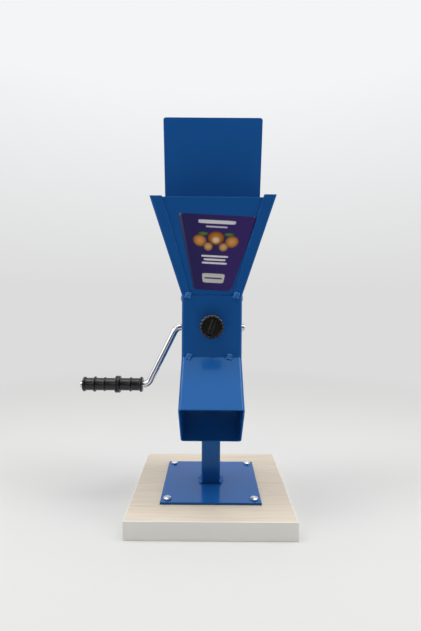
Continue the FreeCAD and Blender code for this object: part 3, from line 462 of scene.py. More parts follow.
def uneven_gloss(name, colour_name, gloss, spot, detail, strength, depth, **more):
    """One-colour finish, its roughness and height uneven in spots; spot and depth in millimetres."""
    made, tree, shader, place = new_finish(name)
    spots = noise(tree, place, spot, detail)
    wire(tree, shader, {"Base Color": paint(colour_name), "Roughness": ramp(tree, spots, 0, 1, *gloss),
                        "Normal": relief(tree, spots, strength, depth), **more})
    return made


def plated_metal(name, colour_name, gloss, spot, depth):
    """Metal: one reflection colour under an uneven gloss."""
    return uneven_gloss(name, colour_name, gloss, spot, 3.0, 0.1, depth, Metallic=1.0)


def bright_chrome():
    """Chrome plate on a drawn bar: nearly a mirror, with slight waves from the drawing and bending."""
    return plated_metal("bright_chrome", "chrome", (0.05, 0.16), 6, 0.12)


def bright_zinc():
    """Zinc plate on pressed screws: bright but clouded."""
    return plated_metal("bright_zinc", "zinc", (0.28, 0.42), 0.8, 0.03)


def machined_steel():
    """Bare milled and turned steel: satin, with fine cutter marks and a film of oil."""
    return plated_metal("machined_steel", "steel", (0.3, 0.5), 0.5, 0.04)


def sintered_bronze():
    """Sintered bronze: dull and open-pored, because the bush holds its own oil."""
    return plated_metal("sintered_bronze", "bronze", (0.35, 0.6), 0.3, 0.04)


def grip_plastic():
    """Injection-moulded polypropylene: satin black, a soft broad shine along the top."""
    return uneven_gloss("grip_plastic", "grip", (0.24, 0.36), 0.5, 2.0, 0.15, 0.05)


def knob_plastic():
    """Pressed phenolic resin: hard black with a tighter shine."""
    return uneven_gloss("knob_plastic", "knob", (0.18, 0.3), 0.4, 2.0, 0.15, 0.05)


# The label's design from the lowest layer up. Each motif: its form and inks, its middle across the label and
# up it, and its half width and half height, as shares of the label.
LABEL_MOTIFS = (
    ("bar", "pale", 0.50, 0.905, 0.25, 0.024),
    ("bar", "lilac", 0.50, 0.84, 0.15, 0.011),
    ("round", "leaf", 0.31, 0.745, 0.075, 0.024),
    ("round", "leaf", 0.69, 0.745, 0.075, 0.024),
    ("round", "amber", 0.25, 0.65, 0.105, 0.078),
    ("round", "amber", 0.75, 0.65, 0.105, 0.078),
    ("round", "rust", 0.50, 0.69, 0.125, 0.092),
    ("round", "cream", 0.50, 0.665, 0.065, 0.046),
    ("round", "straw", 0.38, 0.575, 0.075, 0.056),
    ("round", "straw", 0.63, 0.575, 0.075, 0.056),
    ("bar", "pale", 0.50, 0.45, 0.24, 0.013),
    ("bar", "pale", 0.50, 0.405, 0.20, 0.013),
    ("bar", "pale", 0.50, 0.36, 0.24, 0.013),
    ("bar", "panel", 0.50, 0.16, 0.25, 0.062),
    ("bar", "violet", 0.50, 0.16, 0.20, 0.010),
)
# The colours of a motif's middle and of its rim.
LABEL_INKS = {
    "pale": ("#f2f0f4", "#e4e0ec"),
    "lilac": ("#d9d3e8", "#cbc3de"),
    "leaf": ("#5f8f3c", "#2f5a24"),
    "amber": ("#e8a45c", "#8a4718"),
    "rust": ("#d98a3e", "#7a3a14"),
    "cream": ("#f1dcae", "#c99a58"),
    "straw": ("#e2b878", "#8c5a28"),
    "panel": ("#dedbd6", "#d2cfca"),
    "violet": ("#5a4a7c", "#5a4a7c"),
}
# The power that makes a form round, or nearly square.
LABEL_POWERS = {"round": 2, "bar": 8}


def printed_label():
    """Printed vinyl film: a violet ground that warms to the right, with plain rounds, leaves and bars.

    A motif's reach is the sum of the same power of the place across it and of the place up it, each 0 in its
    middle and 1 at its rim. It colours the motif from the middle to the rim, and beyond 1 the ground shows.
    """
    made, tree, shader, _ = new_finish("printed_label")
    sheet = add_node(tree, "UVMap", uv_map="label").outputs["UV"]
    axes = add_node(tree, "SeparateXYZ", {"Vector": sheet}).outputs
    ground = blend(tree, axes["X"], paint("label_left"), paint("label_right"))
    for form, inks, across, up, half_width, half_height in LABEL_MOTIFS:
        powers = []
        for axis, middle, half in (("X", across, half_width), ("Y", up, half_height)):
            share = ramp(tree, axes[axis], middle, middle + half, 0, 1, clamp=False)
            powers.append(calculate(tree, "POWER", calculate(tree, "ABSOLUTE", share), LABEL_POWERS[form]))
        reach = calculate(tree, "ADD", *powers)
        middle_ink, rim_ink = (opaque(linear(ink)) for ink in LABEL_INKS[inks])
        ground = blend(tree, calculate(tree, "LESS_THAN", reach, 1.0), ground,
                       blend(tree, reach, middle_ink, rim_ink))
    wire(tree, shader, {"Base Color": ground, "Roughness": 0.3})
    return made


FINISHES = {maker.__name__: maker for maker in (
    blue_powder_coat, weld_powder_coat, melamine_grain, edge_band_plastic, bright_chrome, bright_zinc,
    machined_steel, sintered_bronze, grip_plastic, knob_plastic, printed_label)}


def material(name):
    """The finish of that name, made once."""
    return bpy.data.materials.get(name) or FINISHES[name]()


# Pieces


class PieceMaker:
    """What the makers of pieces share."""

    bl_options = {"REGISTER", "UNDO"}

    def execute(self, context):
        self.make(context.scene.nut_cracker_sizes)
        return {"FINISHED"}


class NUTCRACKER_OT_board(PieceMaker, bpy.types.Operator):
    """Board and the four strips glued round it"""

    bl_idname = "nut_cracker.board"
    bl_label = "Board"

    def make(self, sizes):
        soften("base_board", "board", "frame", "melamine_grain", sizes.steel_edge)
        self.edge_bands(sizes)

    def edge_bands(self, sizes):
        """Four strips, each a profile carried along one side of the board.

        The profile's outer edges are rounded. Near a strip's ends its outside draws in along a quarter
        circle, and each end closes on the middle of its last profile. The strips in front and behind run
        over the ends of the other two, which are cut nearly square.
        """
        low, high = box_of("edge_bands")
        outer, inner = high[0], box_of("base_board")[1][0]
        profile = rounded(((inner, low[2]), (outer, low[2]), (outer, high[2]), (inner, high[2])),
                          (0, sizes.band_corner, sizes.band_edge, 0), 5)
        depth = (profile[:, 0] - inner) / (outer - inner)
        arc = np.linspace(0, math.pi / 2, 6)
        cut_edge = 0.1 * MM
        # Each strip: its quarter turns from the front, half its length and the rounding of its ends.
        strips = ((0, outer, sizes.band_corner), (2, outer, sizes.band_corner),
                  (1, inner, cut_edge), (3, inner, cut_edge))
        bands = []
        for quarter, half, corner in strips:
            end = half - corner * (1 - np.sin(arc))
            pull = corner * (1 - np.cos(arc))
            place = np.concatenate((-end[::-1], end))[:, None] * np.ones(len(profile))
            out = profile[:, 0] - np.concatenate((pull[::-1], pull))[:, None] * depth
            strip = np.stack((place, -out, profile[:, 1] * np.ones((len(place), 1))), -1)
            first, last = (np.broadcast_to(row.mean(0), (1, *row.shape)) for row in (strip[0], strip[-1]))
            bands.append(about_upright(np.concatenate((first, strip, last)), quarter * math.pi / 2))
        piece = add_piece("board_edge_bands", "frame", "edge_band_plastic", bands, 40)
        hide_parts("edge_bands")


class NUTCRACKER_OT_sheet_steel(PieceMaker, bpy.types.Operator):
    """Painted plate, tubes and hopper sheets, their cut edges rounded by the paint"""

    bl_idname = "nut_cracker.sheet_steel"
    bl_label = "Sheet steel"

    sheets = ("base_plate", "hopper_left_panel", "hopper_right_panel", "hopper_front_panel",
              "hopper_back_panel")
    tubes = ("post_tube", "body_tube", "chute_tube")

    def make(self, sizes):
        for nodes, edge in ((self.sheets, sizes.paint_edge), (self.tubes, sizes.sawn_edge)):
            for node in nodes:
                soften(node, "painted_" + node, "frame", "blue_powder_coat", edge)


def weld_wave(place, ripple, seed):
    """Uneven height of a weld, about 1: even ripples along it, and two slow waves at odd spacings."""
    ripples = 0.07 * np.cos(2 * math.pi * place / ripple)
    slow = 0.09 * np.sin(place / (2.1 * ripple) + seed)
    slower = 0.06 * np.sin(place / (0.83 * ripple) + 2.3 * seed)
    return 0.88 + ripples + slow + slower


class NUTCRACKER_OT_welds(PieceMaker, bpy.types.Operator):
    """Painted tacks at hopper and chute, and the weld heaps at the post's foot"""

    bl_idname = "nut_cracker.welds"
    bl_label = "Welds"

    # Dabs of one tack: middle along and across the joint and size, as shares of its half length and leg.
    dabs = ((0.0, 0.0, 0.72), (-0.42, 0.3, 0.58), (0.4, -0.28, 0.6), (0.12, 0.42, 0.5), (-0.3, -0.46, 0.46))

    def make(self, sizes):
        piece = self.tacks("painted_hopper_tacks", self.hopper_places(), 1.9 * MM, 0, sizes)
        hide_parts("hopper_weld_tacks")
        places, fold = self.chute_places()
        piece = self.tacks("painted_chute_tacks", places, 2.8 * MM, fold, sizes)
        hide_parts("chute_weld_tacks")
        piece = self.tacks("painted_foot_beads", self.foot_places(), 3.2 * MM, 0.4, sizes)
        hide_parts("post_foot_weld")

    # A tack's place is its middle, the direction along the joint and the direction out of it.

    def hopper_places(self):
        """Two under the hopper's front, two under its back and one at each side."""
        low, high = box_of("body_tube")
        beside, from_front = 32 * MM, 14 * MM
        below_top = (high[2] - box_of("hopper_weld_tacks")[0][2]) / 2
        places = [((side * beside, wall, high[2]), (1, 0, 0), (0, out, 0))
                  for side in (-1, 1) for wall, out in ((low[1], -1), (high[1], 1))]
        places += [((side * high[0], low[1] + from_front, high[2] - below_top), (0, 1, 0), (side, 0, 0))
                   for side in (-1, 1)]
        return places

    def chute_places(self):
        """Two in front and two behind, at the mitre of housing and chute, and how steep the mitre is."""
        low, high = box_of("body_tube")
        mitre_top = box_of("chute_tube")[1][2]
        left, right = -30.5 * MM, 23 * MM
        outward = np.array((0, low[1] - high[1], mitre_top - low[2]))
        outward /= np.linalg.norm(outward)
        places = [((across, *place), (1, 0, 0), direction) for across in (left, right)
                  for place, direction in (((low[1], mitre_top), outward), ((high[1], low[2]), -outward))]
        return places, outward[2]

    def foot_places(self):
        """Three at each side of the post, halfway between post and plate."""
        post, plate_top = box_of("post_tube")[1], box_of("base_plate")[1][2]
        halfway = math.sqrt(0.5)
        return [((side * post[0], share * post[1], plate_top), (0, 1, 0), (side * halfway, 0, halfway))
                for side in (-1, 1) for share in (-0.58, -0.08, 0.42)]

    def tacks(self, name, places, bulge, fold, sizes):
        """Group of welds, each a heap of overlapping dabs, the outer ones further out by the joint's fold.

        A dab's half size shrinks to nothing at both ends as a circle's does and is times the weld wave,
        taken along and across it. The section across it is an ellipse, flatter on the side in the joint.
        """
        run = -np.cos(np.linspace(0, math.pi, 17))[:, None]
        angle = angles(16)[None]
        half, leg = sizes.tack_length / 2, sizes.tack_leg
        ripple_across, root = 4 * MM, 0.4 * MM
        lumps = []
        for number, (centre, along, outward) in enumerate(places):
            along, outward = np.array(along, float), np.array(outward, float)
            up = np.cross(outward, along)
            hand = 1 if number % 2 else -1
            for place, height, share in self.dabs:
                seed = 1.9 * len(lumps) + 0.6
                wave_along = weld_wave(run * half, sizes.weld_ripple, seed)
                wave_across = weld_wave(np.cos(angle) * leg, ripple_across, seed)
                size = share * (1 - run ** 2) ** 0.45 * wave_along * wave_across
                stand = np.where(np.sin(angle) > 0, bulge * (0.7 + 0.6 * share), root) * np.sin(angle)
                middle = np.array(centre) + hand * place * half * along + height * leg * up
                middle = middle + abs(height) * leg * fold * outward
                lumps.append(middle + (share * run * half)[..., None] * along
                             + (size * leg * np.cos(angle))[..., None] * up
                             + (size / share * stand)[..., None] * outward)
        return add_piece(name, "frame", "weld_powder_coat", lumps, 70)


class NUTCRACKER_OT_foot_screws(PieceMaker, bpy.types.Operator):
    """Domed screws with a cross recess, driven through the foot plate"""

    bl_idname = "nut_cracker.foot_screws"
    bl_label = "Foot screws"

    def make(self, sizes):
        """Each screw is one surface of rings and angles.

        From the middle the rings run over the dome, down the head's rim, in under the head, down the shank
        and to its point. On the dome the height drops into a cross where either coordinate is in an arm.
        """
        low, high = box_of("base_screws")
        plate_top = box_of("base_plate")[1][2]
        rise, end = high[2] - plate_top, low[2] - plate_top
        # Radii, then the fall of the dome, the rim's lower end below the top, and the edge under the head.
        head, shank, tip, middle = 4.75 * MM, 2.25 * MM, 1.2 * MM, 0.01 * MM
        dome_drop, rim_low, head_edge = 1.5 * MM, 2.2 * MM, 0.3 * MM
        dome = np.linspace(0, 1, 26)[1:]
        above = np.stack((dome * head, rise - dome_drop * dome ** 2.6), -1)
        below = ((head, rise - rim_low), (head, head_edge), (head - head_edge, 0), (shank, 0),
                 (shank, end + 3 * MM), (tip, end + 1 * MM), (middle, end))
        radius, height = np.concatenate((((middle, rise),), above, below)).T[..., None]
        angle = angles(96)
        x, y = radius * np.cos(angle), radius * np.sin(angle)
        arm, arm_reach, arm_edge = 0.5 * sizes.recess_width, 2.1 * MM, 0.1 * MM
        arms = [inside(np.abs(across), arm, arm_edge) * inside(np.abs(along), arm_reach, arm_edge)
                for across, along in ((x, y), (y, x))]
        on_dome = np.arange(len(radius))[:, None] <= len(dome)
        z = height - sizes.recess_depth * np.maximum(*arms) * on_dome
        screw = np.stack((x, y, z + plate_top), -1)
        offset = high[0] - head
        # Each screw: its corner, and the turn in degrees in which it was left.
        screws = [about_upright(screw, math.radians(turn)) + (side * offset, depth * offset, 0)
                  for side, depth, turn in ((-1, -1, 12), (1, -1, 71), (1, 1, 38), (-1, 1, 55))]
        piece = add_piece("zinc_foot_screws", "frame", "bright_zinc", screws, 50)
        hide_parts("base_screws")


class NUTCRACKER_OT_label(PieceMaker, bpy.types.Operator):
    """Printed film on the hopper's front, with a plain design"""

    bl_idname = "nut_cracker.label"
    bl_label = "Label"

    def make(self, sizes):
        """Four-sided sheet between straight sides.

        A point's place is the corners' mean, weighted by its shares across and up. Near the upper and lower
        edge the shares across keep to the inside of a quarter circle, which rounds the corners.
        """
        front = box_of("hopper_front_panel")[0][1]
        # Across and up: low left, low right, high right, high left.
        corners = np.array(((-24.2, 286.0), (24.8, 283.6), (59.1, 382.4), (-45.6, 387.2))) * MM
        low_left, low_right, high_right, high_left = corners
        tall = np.linalg.norm(high_left - low_left)
        radius = sizes.label_corner
        up = (1 - np.cos(np.linspace(0, math.pi, 61))) / 2
        from_edge = np.minimum(up, 1 - up) * tall
        inset = radius - np.sqrt(np.maximum(radius ** 2 - np.maximum(radius - from_edge, 0) ** 2, 0))
        low_edge, high_edge = low_right - low_left, high_right - high_left
        wide = np.linalg.norm(low_edge + (high_edge - low_edge) * up[:, None], axis=1)
        across = np.linspace(0, 1, 25)[None] * (1 - 2 * inset / wide)[:, None] + (inset / wide)[:, None]
        v = np.broadcast_to(up[:, None], across.shape)
        flat = ((1 - across) * (1 - v))[..., None] * low_left + (across * (1 - v))[..., None] * low_right
        flat = flat + (across * v)[..., None] * high_right + ((1 - across) * v)[..., None] * high_left
        points = np.stack((flat[..., 0], np.full(v.shape, front), flat[..., 1]), -1)
        faces = grid_faces(*across.shape, joins_columns=False)
        mesh = new_mesh("front_label", points, faces)
        layer = mesh.uv_layers.new(name="label")
        shares = np.stack((across, v), -1).reshape(-1, 2)
        layer.uv.foreach_set("vector", shares[faces.ravel()].astype(np.float32).ravel())
        piece = finish_piece("front_label", "frame", "printed_label", mesh, 35)
        add_modifier(piece, "film", "SOLIDIFY", thickness=sizes.label_thickness, offset=1)


class NUTCRACKER_OT_crank_rod(PieceMaker, bpy.types.Operator):
    """One bright bar, bent twice: shaft, arm and grip pin"""

    bl_idname = "nut_cracker.crank_rod"
    bl_label = "Crank bar"

    def make(self, sizes):
        """A circle carried along the bent axis.

        The axis is a bent line with touching arcs in the plane of the crank. Each ring lies square to it,
        one direction along Y and the other across the axis in that plane. The end rings make a chamfer.
        """
        low, high = box_of("crank_rod")
        radius = (high[1] - low[1]) / 2
        y = (high[1] + low[1]) / 2
        shaft_z, pin_z = high[2] - radius, low[2] + radius
        chamfer = sizes.bar_chamfer
        inner_bend, outer_bend = -51.1 * MM, -91.3 * MM
        axis = rounded(((high[0], shaft_z), (high[0] - chamfer, shaft_z), (inner_bend, shaft_z),
                        (outer_bend, pin_z), (low[0] + chamfer, pin_z), (low[0], pin_z)),
                       (0, 0, sizes.bend_radius, sizes.bend_radius, 0, 0), 14)
        steps = np.linalg.norm(np.diff(axis, axis=0), axis=1)
        axis = axis[np.append(True, steps > 1e-7)]
        ahead = np.gradient(axis, axis=0)
        ahead /= np.linalg.norm(ahead, axis=1, keepdims=True)
        rings = np.full(len(axis), radius)
        rings[[0, -1]] -= 0.7 * chamfer
        axis = np.concatenate((axis[:1], axis, axis[-1:]))
        ahead = np.concatenate((ahead[:1], ahead, ahead[-1:]))
        rings = np.concatenate(([0], rings, [0]))
        angle = angles(48)
        out = rings[:, None] * np.cos(angle)
        points = np.stack((axis[:, :1] - ahead[:, 1:] * out, y + rings[:, None] * np.sin(angle),
                           axis[:, 1:] + ahead[:, :1] * out), -1)
        piece = add_piece("chromed_crank_bar", "crank", "bright_chrome", points, 40)
        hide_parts("crank_rod")


class NUTCRACKER_OT_grip(PieceMaker, bpy.types.Operator):
    """Moulded sleeve with its rings, and the ring that holds it on the bar"""

    bl_idname = "nut_cracker.grip"
    bl_label = "Grip"

    # Rings: place of the middle, diameter and thickness in millimetres.
    rings = ((17.1, 20.5, 2.6), (54.6, 19.8, 2.4), (68.9, 21.8, 2.8))

    def make(self, sizes):
        """Profile turned about the pin, outwards from the crank arm: sleeve, rings, collar, end flange."""
        long = size_of("crank_grip")[0]
        sleeve, bore, ridge, valley, seat = 8.8, 5.1, 12.1, 11.2, 7.2
        # Corners: place from the end at the crank arm, radius and rounding, in millimetres.
        corners = [(0, bore, 0), (0, 10.2, 0.5), (2.2, 10.9, 1.0), (3.4, 10.2, 0.4), (4.4, sleeve, 0.6)]
        # Collar: two rounded ridges with a valley between them.
        collar = [(31.9, sleeve, 0.3), (32.3, ridge, 1.0), (34.9, ridge, 1.0), (35.6, valley, 0.3),
                  (36.3, ridge, 1.0), (38.9, ridge, 1.0), (39.3, sleeve, 0.3)]
        slant = 0.3
        for place, diameter, thickness in self.rings:
            crest, half, rounding = diameter / 2, thickness / 2, 0.45 * thickness
            corners += [(place - half - slant, sleeve, 0.3), (place - half + slant, crest, rounding),
                        (place + half - slant, crest, rounding), (place + half + slant, sleeve, 0.3)]
            # The collar stands between the first ring and the second.
            corners += collar
            collar = []
        # End flange, its face hollow for the ring on the bar.
        corners += [(long - 4.2, sleeve, 0.6), (long - 3.4, 10.3, 0.9), (long - 0.9, 10.3, 1.0),
                    (long, 8.9, 0.6), (long, seat, 0.2), (long - 3, seat, 0), (long - 3, bore, 0)]
        corners = np.array(corners)
        fullest = 1.1
        radii = np.minimum(corners[:, 2], fullest) * sizes.ring_edge / (fullest * MM)
        outline = rounded(corners[:, :2], radii, 4)
        points = turned(outline, face_of("crank_grip", 1), (-1, 0, 0))
        grip = add_piece("moulded_grip", "grip", "grip_plastic", points, 50, is_ring=True)
        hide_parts("crank_grip")
        self.push_ring()

    def push_ring(self):
        """Flat ring on the bar, on the grip's axis, its outer edges rounded."""
        thick, width, _ = size_of("grip_retainer")
        inner, outer = 5, width / 2
        outline = rounded(((0, inner), (0, outer), (thick, outer), (thick, inner)), (0, 0.3, 0.3, 0), 2)
        centre = (face_of("grip_retainer", 1)[0], *face_of("crank_grip", 1)[1:])
        points = turned(outline, centre, (-1, 0, 0))
        ring = add_piece("grip_push_ring", "crank", "bright_zinc", points, is_ring=True)
        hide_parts("grip_retainer")


class NUTCRACKER_OT_bushes(PieceMaker, bpy.types.Operator):
    """Bronze bushes in the housing's side walls"""

    bl_idname = "nut_cracker.bushes"
    bl_label = "Shaft bushes"

    def make(self, sizes):
        for side, hand in (("left", -1), ("right", 1)):
            long, _, width = size_of("shaft_bush_" + side)
            bore, outer = 5.05, width / 2
            outline = rounded(((0, bore), (0, outer), (long, outer), (long, bore)), (0, 0.1, 0.35, 0.3), 3)
            points = turned(outline, face_of("shaft_bush_" + side, -hand), (hand, 0, 0))
            bush = add_piece(f"bronze_bush_{side}", "frame", "sintered_bronze", points,
                             is_ring=True)
            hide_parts("shaft_bush_" + side)


class NUTCRACKER_OT_crusher(PieceMaker, bpy.types.Operator):
    """Toothed roller with its pin, ridged jaw, the jaw's ledges and the adjuster's nut"""

    bl_idname = "nut_cracker.crusher"
    bl_label = "Crusher"

    def make(self, sizes):
        for node, name, body in (("crushing_roller", "toothed_roller", "crank"),
                                 ("jaw_plate", "ridged_jaw", "jaw")):
            soften(node, name, body, "machined_steel", sizes.steel_edge)
        for node in ("roller_pin", "adjuster_nut", "jaw_guide_rails"):
            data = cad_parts[node].data
            data.materials.clear()
            data.materials.append(material("machined_steel"))


class NUTCRACKER_OT_adjuster(PieceMaker, bpy.types.Operator):
    """Fluted knob and its screw"""

    bl_idname = "nut_cracker.adjuster"
    bl_label = "Adjuster"

    def make(self, sizes):
        self.knob(sizes)
        self.screw(sizes)

    def knob(self, sizes):
        """Rings and angles round the axis, from the screw socket over the back, the rim and the face.

        The rim dips into round-bottomed flutes: the dip is a power of the cosine of the flute count times
        the angle. In the hollow face a bar stands up where the distance from its middle line is small.
        """
        low, high = box_of("adjuster_knob")
        centre = (low + high) / 2
        width, thick, _ = size_of("adjuster_knob")
        radius = width / 2
        face, hollow, socket_radius, socket_depth = 11.5, 2.5, 4.0, 7
        flute_depth, flute_start, flute_run = 1.1, radius - 3.2, 2.4
        bar_half, bar_edge, bar_height, bar_turn = 2.5, 0.16, hollow - 0.6, math.radians(18)
        outline = rounded(((0, socket_radius), (0, radius - 1.2), (1.0, radius), (thick - 1.4, radius),
                           (thick, radius - 1.6), (thick, face + 0.8), (thick - hollow, face)),
                          (0, 0.8, 0.8, 1.6, 1.2, 0.6, 0.8), 5)
        inner = np.stack((np.full(24, thick - hollow), np.linspace(face - 1, 1e-3, 24)), -1)
        outline = np.concatenate((outline[:-1], inner))
        angle = angles(12 * sizes.flutes)
        place, ring = outline[:, :1], outline[:, 1:]
        dip = (0.5 + 0.5 * np.cos(sizes.flutes * angle)) ** 2.2
        share = np.clip((ring - flute_start) / flute_run, 0, 1)
        ring = ring - flute_depth * dip * share * share * (3 - 2 * share)
        x, z = ring * np.sin(angle), ring * np.cos(angle)
        from_bar = np.abs(x * math.cos(bar_turn) - z * math.sin(bar_turn))
        in_face = (np.arange(len(outline)) >= len(outline) - len(inner))[:, None]
        place = place + np.where(in_face, inside(from_bar, bar_half, bar_edge) * bar_height, 0)
        points = np.stack((centre[0] + x * MM, high[1] - place * MM, centre[2] + z * MM), -1)
        socket = points[:1] - (0, socket_depth * MM, 0)
        points = np.concatenate((socket, points))
        knob = add_piece("fluted_knob", "knob", "knob_plastic", points, 50)
        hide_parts("adjuster_knob")

    def screw(self, sizes):
        """Threaded shank, then the plain neck and the riveted end.

        The radius falls from the crest by the thread depth times a triangle wave of the place along the
        axis minus the angle's share of one pitch, a right-hand thread. It fades out towards both ends.
        """
        low, high = box_of("adjuster_screw")
        centre = (low + high) / 2
        long = size_of("adjuster_screw")[1]
        # Radii of thread, neck and rivet; the screw's shoulder lies against the jaw's back, behind its lip.
        crest, neck, rivet, rivet_thick, middle = 4.0, 3.0, 4.5, 1.6, 0.001
        lip_lean, clearance = 5.5, 0.1
        shoulder = (box_of("jaw_plate")[0][1] - low[1]) / MM + lip_lean - clearance
        place = np.linspace(0, shoulder, 330)
        angle = angles(40)
        pitch, depth = sizes.thread_pitch / MM, sizes.thread_depth / MM
        phase = (place[:, None] / pitch - angle / (2 * math.pi)) % 1
        fade = np.clip(np.minimum(place - 1, shoulder - 0.5 - place), 0, 1)[:, None]
        radius = crest - depth * fade * (1 - np.abs(2 * phase - 1))
        tail = rounded(((shoulder, neck), (long - rivet_thick, neck), (long - rivet_thick, rivet),
                        (long, rivet), (long, middle)), (0, 0, 0.2, 0.7, 0), 4)
        row = np.ones((1, len(angle)))
        place = np.concatenate(([0], place, tail[:, 0]))[:, None] * row
        radius = np.concatenate((middle * row, radius, tail[:, 1:] * row))
        points = np.stack((centre[0] + radius * np.sin(angle) * MM, low[1] + place * MM,
                           centre[2] + radius * np.cos(angle) * MM), -1)
        screw = add_piece("threaded_adjuster", "knob", "bright_zinc", points, 40)
        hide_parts("adjuster_screw")


# Studio


class NUTCRACKER_OT_studio(bpy.types.Operator):
    """Floor, wall, lamps, room light and camera"""

    bl_idname = "nut_cracker.studio"
    bl_label = "Studio"
    bl_options = {"REGISTER", "UNDO"}

    def execute(self, context):
        studio = context.scene.nut_cracker_studio
        self.floor_and_wall()
        self.lamps(context.scene, studio)
        self.room(context.scene, studio)
        self.camera(context.scene, studio)
        return {"FINISHED"}

    def floor_and_wall(self):
        """Round floor, and round it a wall that curves up out of it in a quarter circle.

        The wall is only for the camera, so that it neither shades the machine nor is mirrored by it.
        """
        reach, curve, top = 1100, 450, 2600
        self.stage_piece("studio_floor", ((0, 0.001), (0, 300), (0, reach)), self.paper())
        angle = np.linspace(0, math.pi / 2, 25)
        outline = np.stack((curve * (1 - np.cos(angle)), reach + curve * np.sin(angle)), -1)
        outline = np.concatenate((outline, ((top, reach + curve),)))
        wall = self.stage_piece("studio_wall", outline, self.wall_paper())
        give(wall, visible_diffuse=False, visible_glossy=False, visible_transmission=False,
             visible_shadow=False)

    def stage_piece(self, name, outline, finish):
        """Outline turned about the upright axis, as a piece of the stage."""
        points = turned(outline, (0, 0, 0), (0, 0, 1), 96)
        mesh = new_mesh(name, points, grid_faces(*points.shape[:2]))
        mesh.shade_smooth()
        mesh.materials.append(finish)
        piece = bpy.data.objects.new(name, mesh)
        bpy.context.scene.collection.objects.link(piece)
        return piece

    def paper(self):
        """Matt paper; it keeps the shadows and turns into the wall's colour further out."""
        made, tree, shader, place = new_finish("studio_paper")
        wire(tree, shader, {"Base Color": paint("paper"), "Roughness": 0.9, "Specular IOR Level": 0.1})
        far = add_node(tree, "VectorMath", {0: place}, operation="LENGTH").outputs["Value"]
        glow = add_node(tree, "Emission", {"Color": paint("wall"), "Strength": 1.0})
        both = add_node(tree, "MixShader", {0: ramp(tree, far, 0.35, 1.0, 0, 1), 1: shader, 2: glow})
        wire(tree, tree.get_output_node("ALL"), {"Surface": both})
        return made

    def wall_paper(self):
        """Pale wall that glows, its painted light lighter towards its top."""
        made, tree, _, place = new_finish("studio_wall")
        height = add_node(tree, "SeparateXYZ", {"Vector": place}).outputs["Z"]
        tone = blend(tree, ramp(tree, height, 0.3, 1.3, 0, 1), paint("wall"), paint("wall_top"))
        glow = add_node(tree, "Emission", {"Color": tone, "Strength": 1.0})
        wire(tree, tree.get_output_node("ALL"), {"Surface": glow})
        return made

    def lamps(self, scene, studio):
        """A softbox overhead, a narrow one at each side, and two lamps for what the machine mirrors.

        The chute mirrors the dim panel in front, and the crank mirrors the window on the left.
        """
        # Each lamp: its place, its aim, its width and height, and its share of the power.
        for name, place, target, width, height, share in (
                ("top_softbox", (0, 0.22, 1.9), (0, 0, 0.2), 1.8, 0.5, 0.62),
                ("ceiling_panel", (0, -0.55, 1.8), (0, 0, 0.2), 1.8, 1.1, 0.45),
                ("window", (-1.06, -0.57, 0.66), (0, 0, 0.2), 2.0, 0.6, 0.32),
                ("left_softbox", (-0.84, -0.14, 1.17), (0, 0, 0.14), 0.3, 1.1, 0.34),
                ("right_softbox", (0.84, -0.14, 1.17), (0, 0, 0.14), 0.3, 1.1, 0.34)):
            lamp = bpy.data.lights.new(name, "AREA")
            give(lamp, energy=studio.lamp_power * share, shape="RECTANGLE", size=width, size_y=height)
            holder = bpy.data.objects.new(name, lamp)
            aim = np.array(target) - np.array(place)
            flat = math.hypot(aim[0], aim[1])
            holder.location = place
            holder.rotation_euler = (math.atan2(flat, -aim[2]), 0, math.atan2(-aim[0], aim[1]))
            scene.collection.objects.link(holder)
        # The window is only mirrored, and the other lamps give its share of the light.
        scene.objects["window"].visible_diffuse = False

    def room(self, scene, studio):
        """Light of the room: most from behind the machine, less from the sides, least from the camera."""
        world = bpy.data.worlds.new("room")
        world.use_nodes = True
        tree = world.node_tree
        tree.nodes.clear()
        from_behind, from_side, from_everywhere = 0.72, 0.25, 0.06
        direction = add_node(tree, "TexCoord").outputs["Generated"]
        axes = add_node(tree, "SeparateXYZ", {"Vector": direction}).outputs
        sideways = calculate(tree, "ABSOLUTE", axes["X"])
        behind = calculate(tree, "MAXIMUM", axes["Y"], 0.0)
        level = calculate(tree, "MULTIPLY_ADD", sideways, from_side, from_everywhere)
        level = calculate(tree, "MULTIPLY_ADD", behind, from_behind, level)
        strength = calculate(tree, "MULTIPLY", level, studio.sky)
        light = add_node(tree, "Background", {"Color": (1, 1, 1, 1), "Strength": strength})
        add_node(tree, "OutputWorld", {"Surface": light})
        scene.world = world

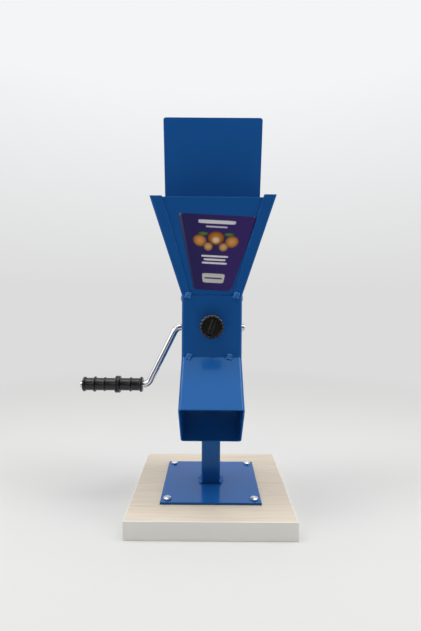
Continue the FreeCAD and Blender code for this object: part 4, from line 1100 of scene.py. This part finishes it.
    def camera(self, scene, studio):
        """Level camera in front of the machine, with the horizon put in place by the lens shift."""
        lens = bpy.data.cameras.new("camera")
        give(lens, lens=studio.lens, sensor_fit="AUTO", sensor_width=36, shift_y=studio.horizon_shift)
        holder = bpy.data.objects.new("camera", lens)
        holder.location = (studio.camera_side, -studio.camera_distance, studio.camera_height)
        holder.rotation_euler = (math.pi / 2, studio.roll, 0)
        scene.collection.objects.link(holder)
        scene.camera = holder
        scene.view_settings.view_transform = "Standard"


MAKERS = (NUTCRACKER_OT_studio, NUTCRACKER_OT_board, NUTCRACKER_OT_sheet_steel, NUTCRACKER_OT_welds,
          NUTCRACKER_OT_foot_screws, NUTCRACKER_OT_label, NUTCRACKER_OT_crank_rod, NUTCRACKER_OT_grip,
          NUTCRACKER_OT_bushes, NUTCRACKER_OT_crusher, NUTCRACKER_OT_adjuster)
GROUPS = (FinishColours, PieceSizes, StudioSettings)


class NUTCRACKER_PT_pieces(bpy.types.Panel):
    """Lists the makers of the pieces and their settings."""

    bl_idname = "NUTCRACKER_PT_pieces"
    bl_label = "Nut cracker"
    bl_space_type = "VIEW_3D"
    bl_region_type = "UI"
    bl_category = "Nut cracker"

    def draw(self, context):
        for maker in MAKERS:
            self.layout.operator(maker.bl_idname)
        for holder in (context.scene.nut_cracker_sizes, context.scene.nut_cracker_colours,
                       context.scene.nut_cracker_studio):
            box = self.layout.box()
            for name in holder.bl_rna.properties.keys():
                if name not in ("rna_type", "name"):
                    box.prop(holder, name)


def register():
    for item in (*GROUPS, *MAKERS, NUTCRACKER_PT_pieces):
        bpy.utils.register_class(item)
    bpy.types.Scene.nut_cracker_colours = bpy.props.PointerProperty(type=FinishColours)
    bpy.types.Scene.nut_cracker_sizes = bpy.props.PointerProperty(type=PieceSizes)
    bpy.types.Scene.nut_cracker_studio = bpy.props.PointerProperty(type=StudioSettings)


def unregister():
    del bpy.types.Scene.nut_cracker_studio
    del bpy.types.Scene.nut_cracker_sizes
    del bpy.types.Scene.nut_cracker_colours
    for item in reversed((*GROUPS, *MAKERS, NUTCRACKER_PT_pieces)):
        bpy.utils.unregister_class(item)


def main():
    """Makes every piece and the studio."""
    register()
    for maker in MAKERS:
        getattr(bpy.ops.nut_cracker, maker.bl_idname.split(".")[1])()


if __name__ == "__main__":
    main()
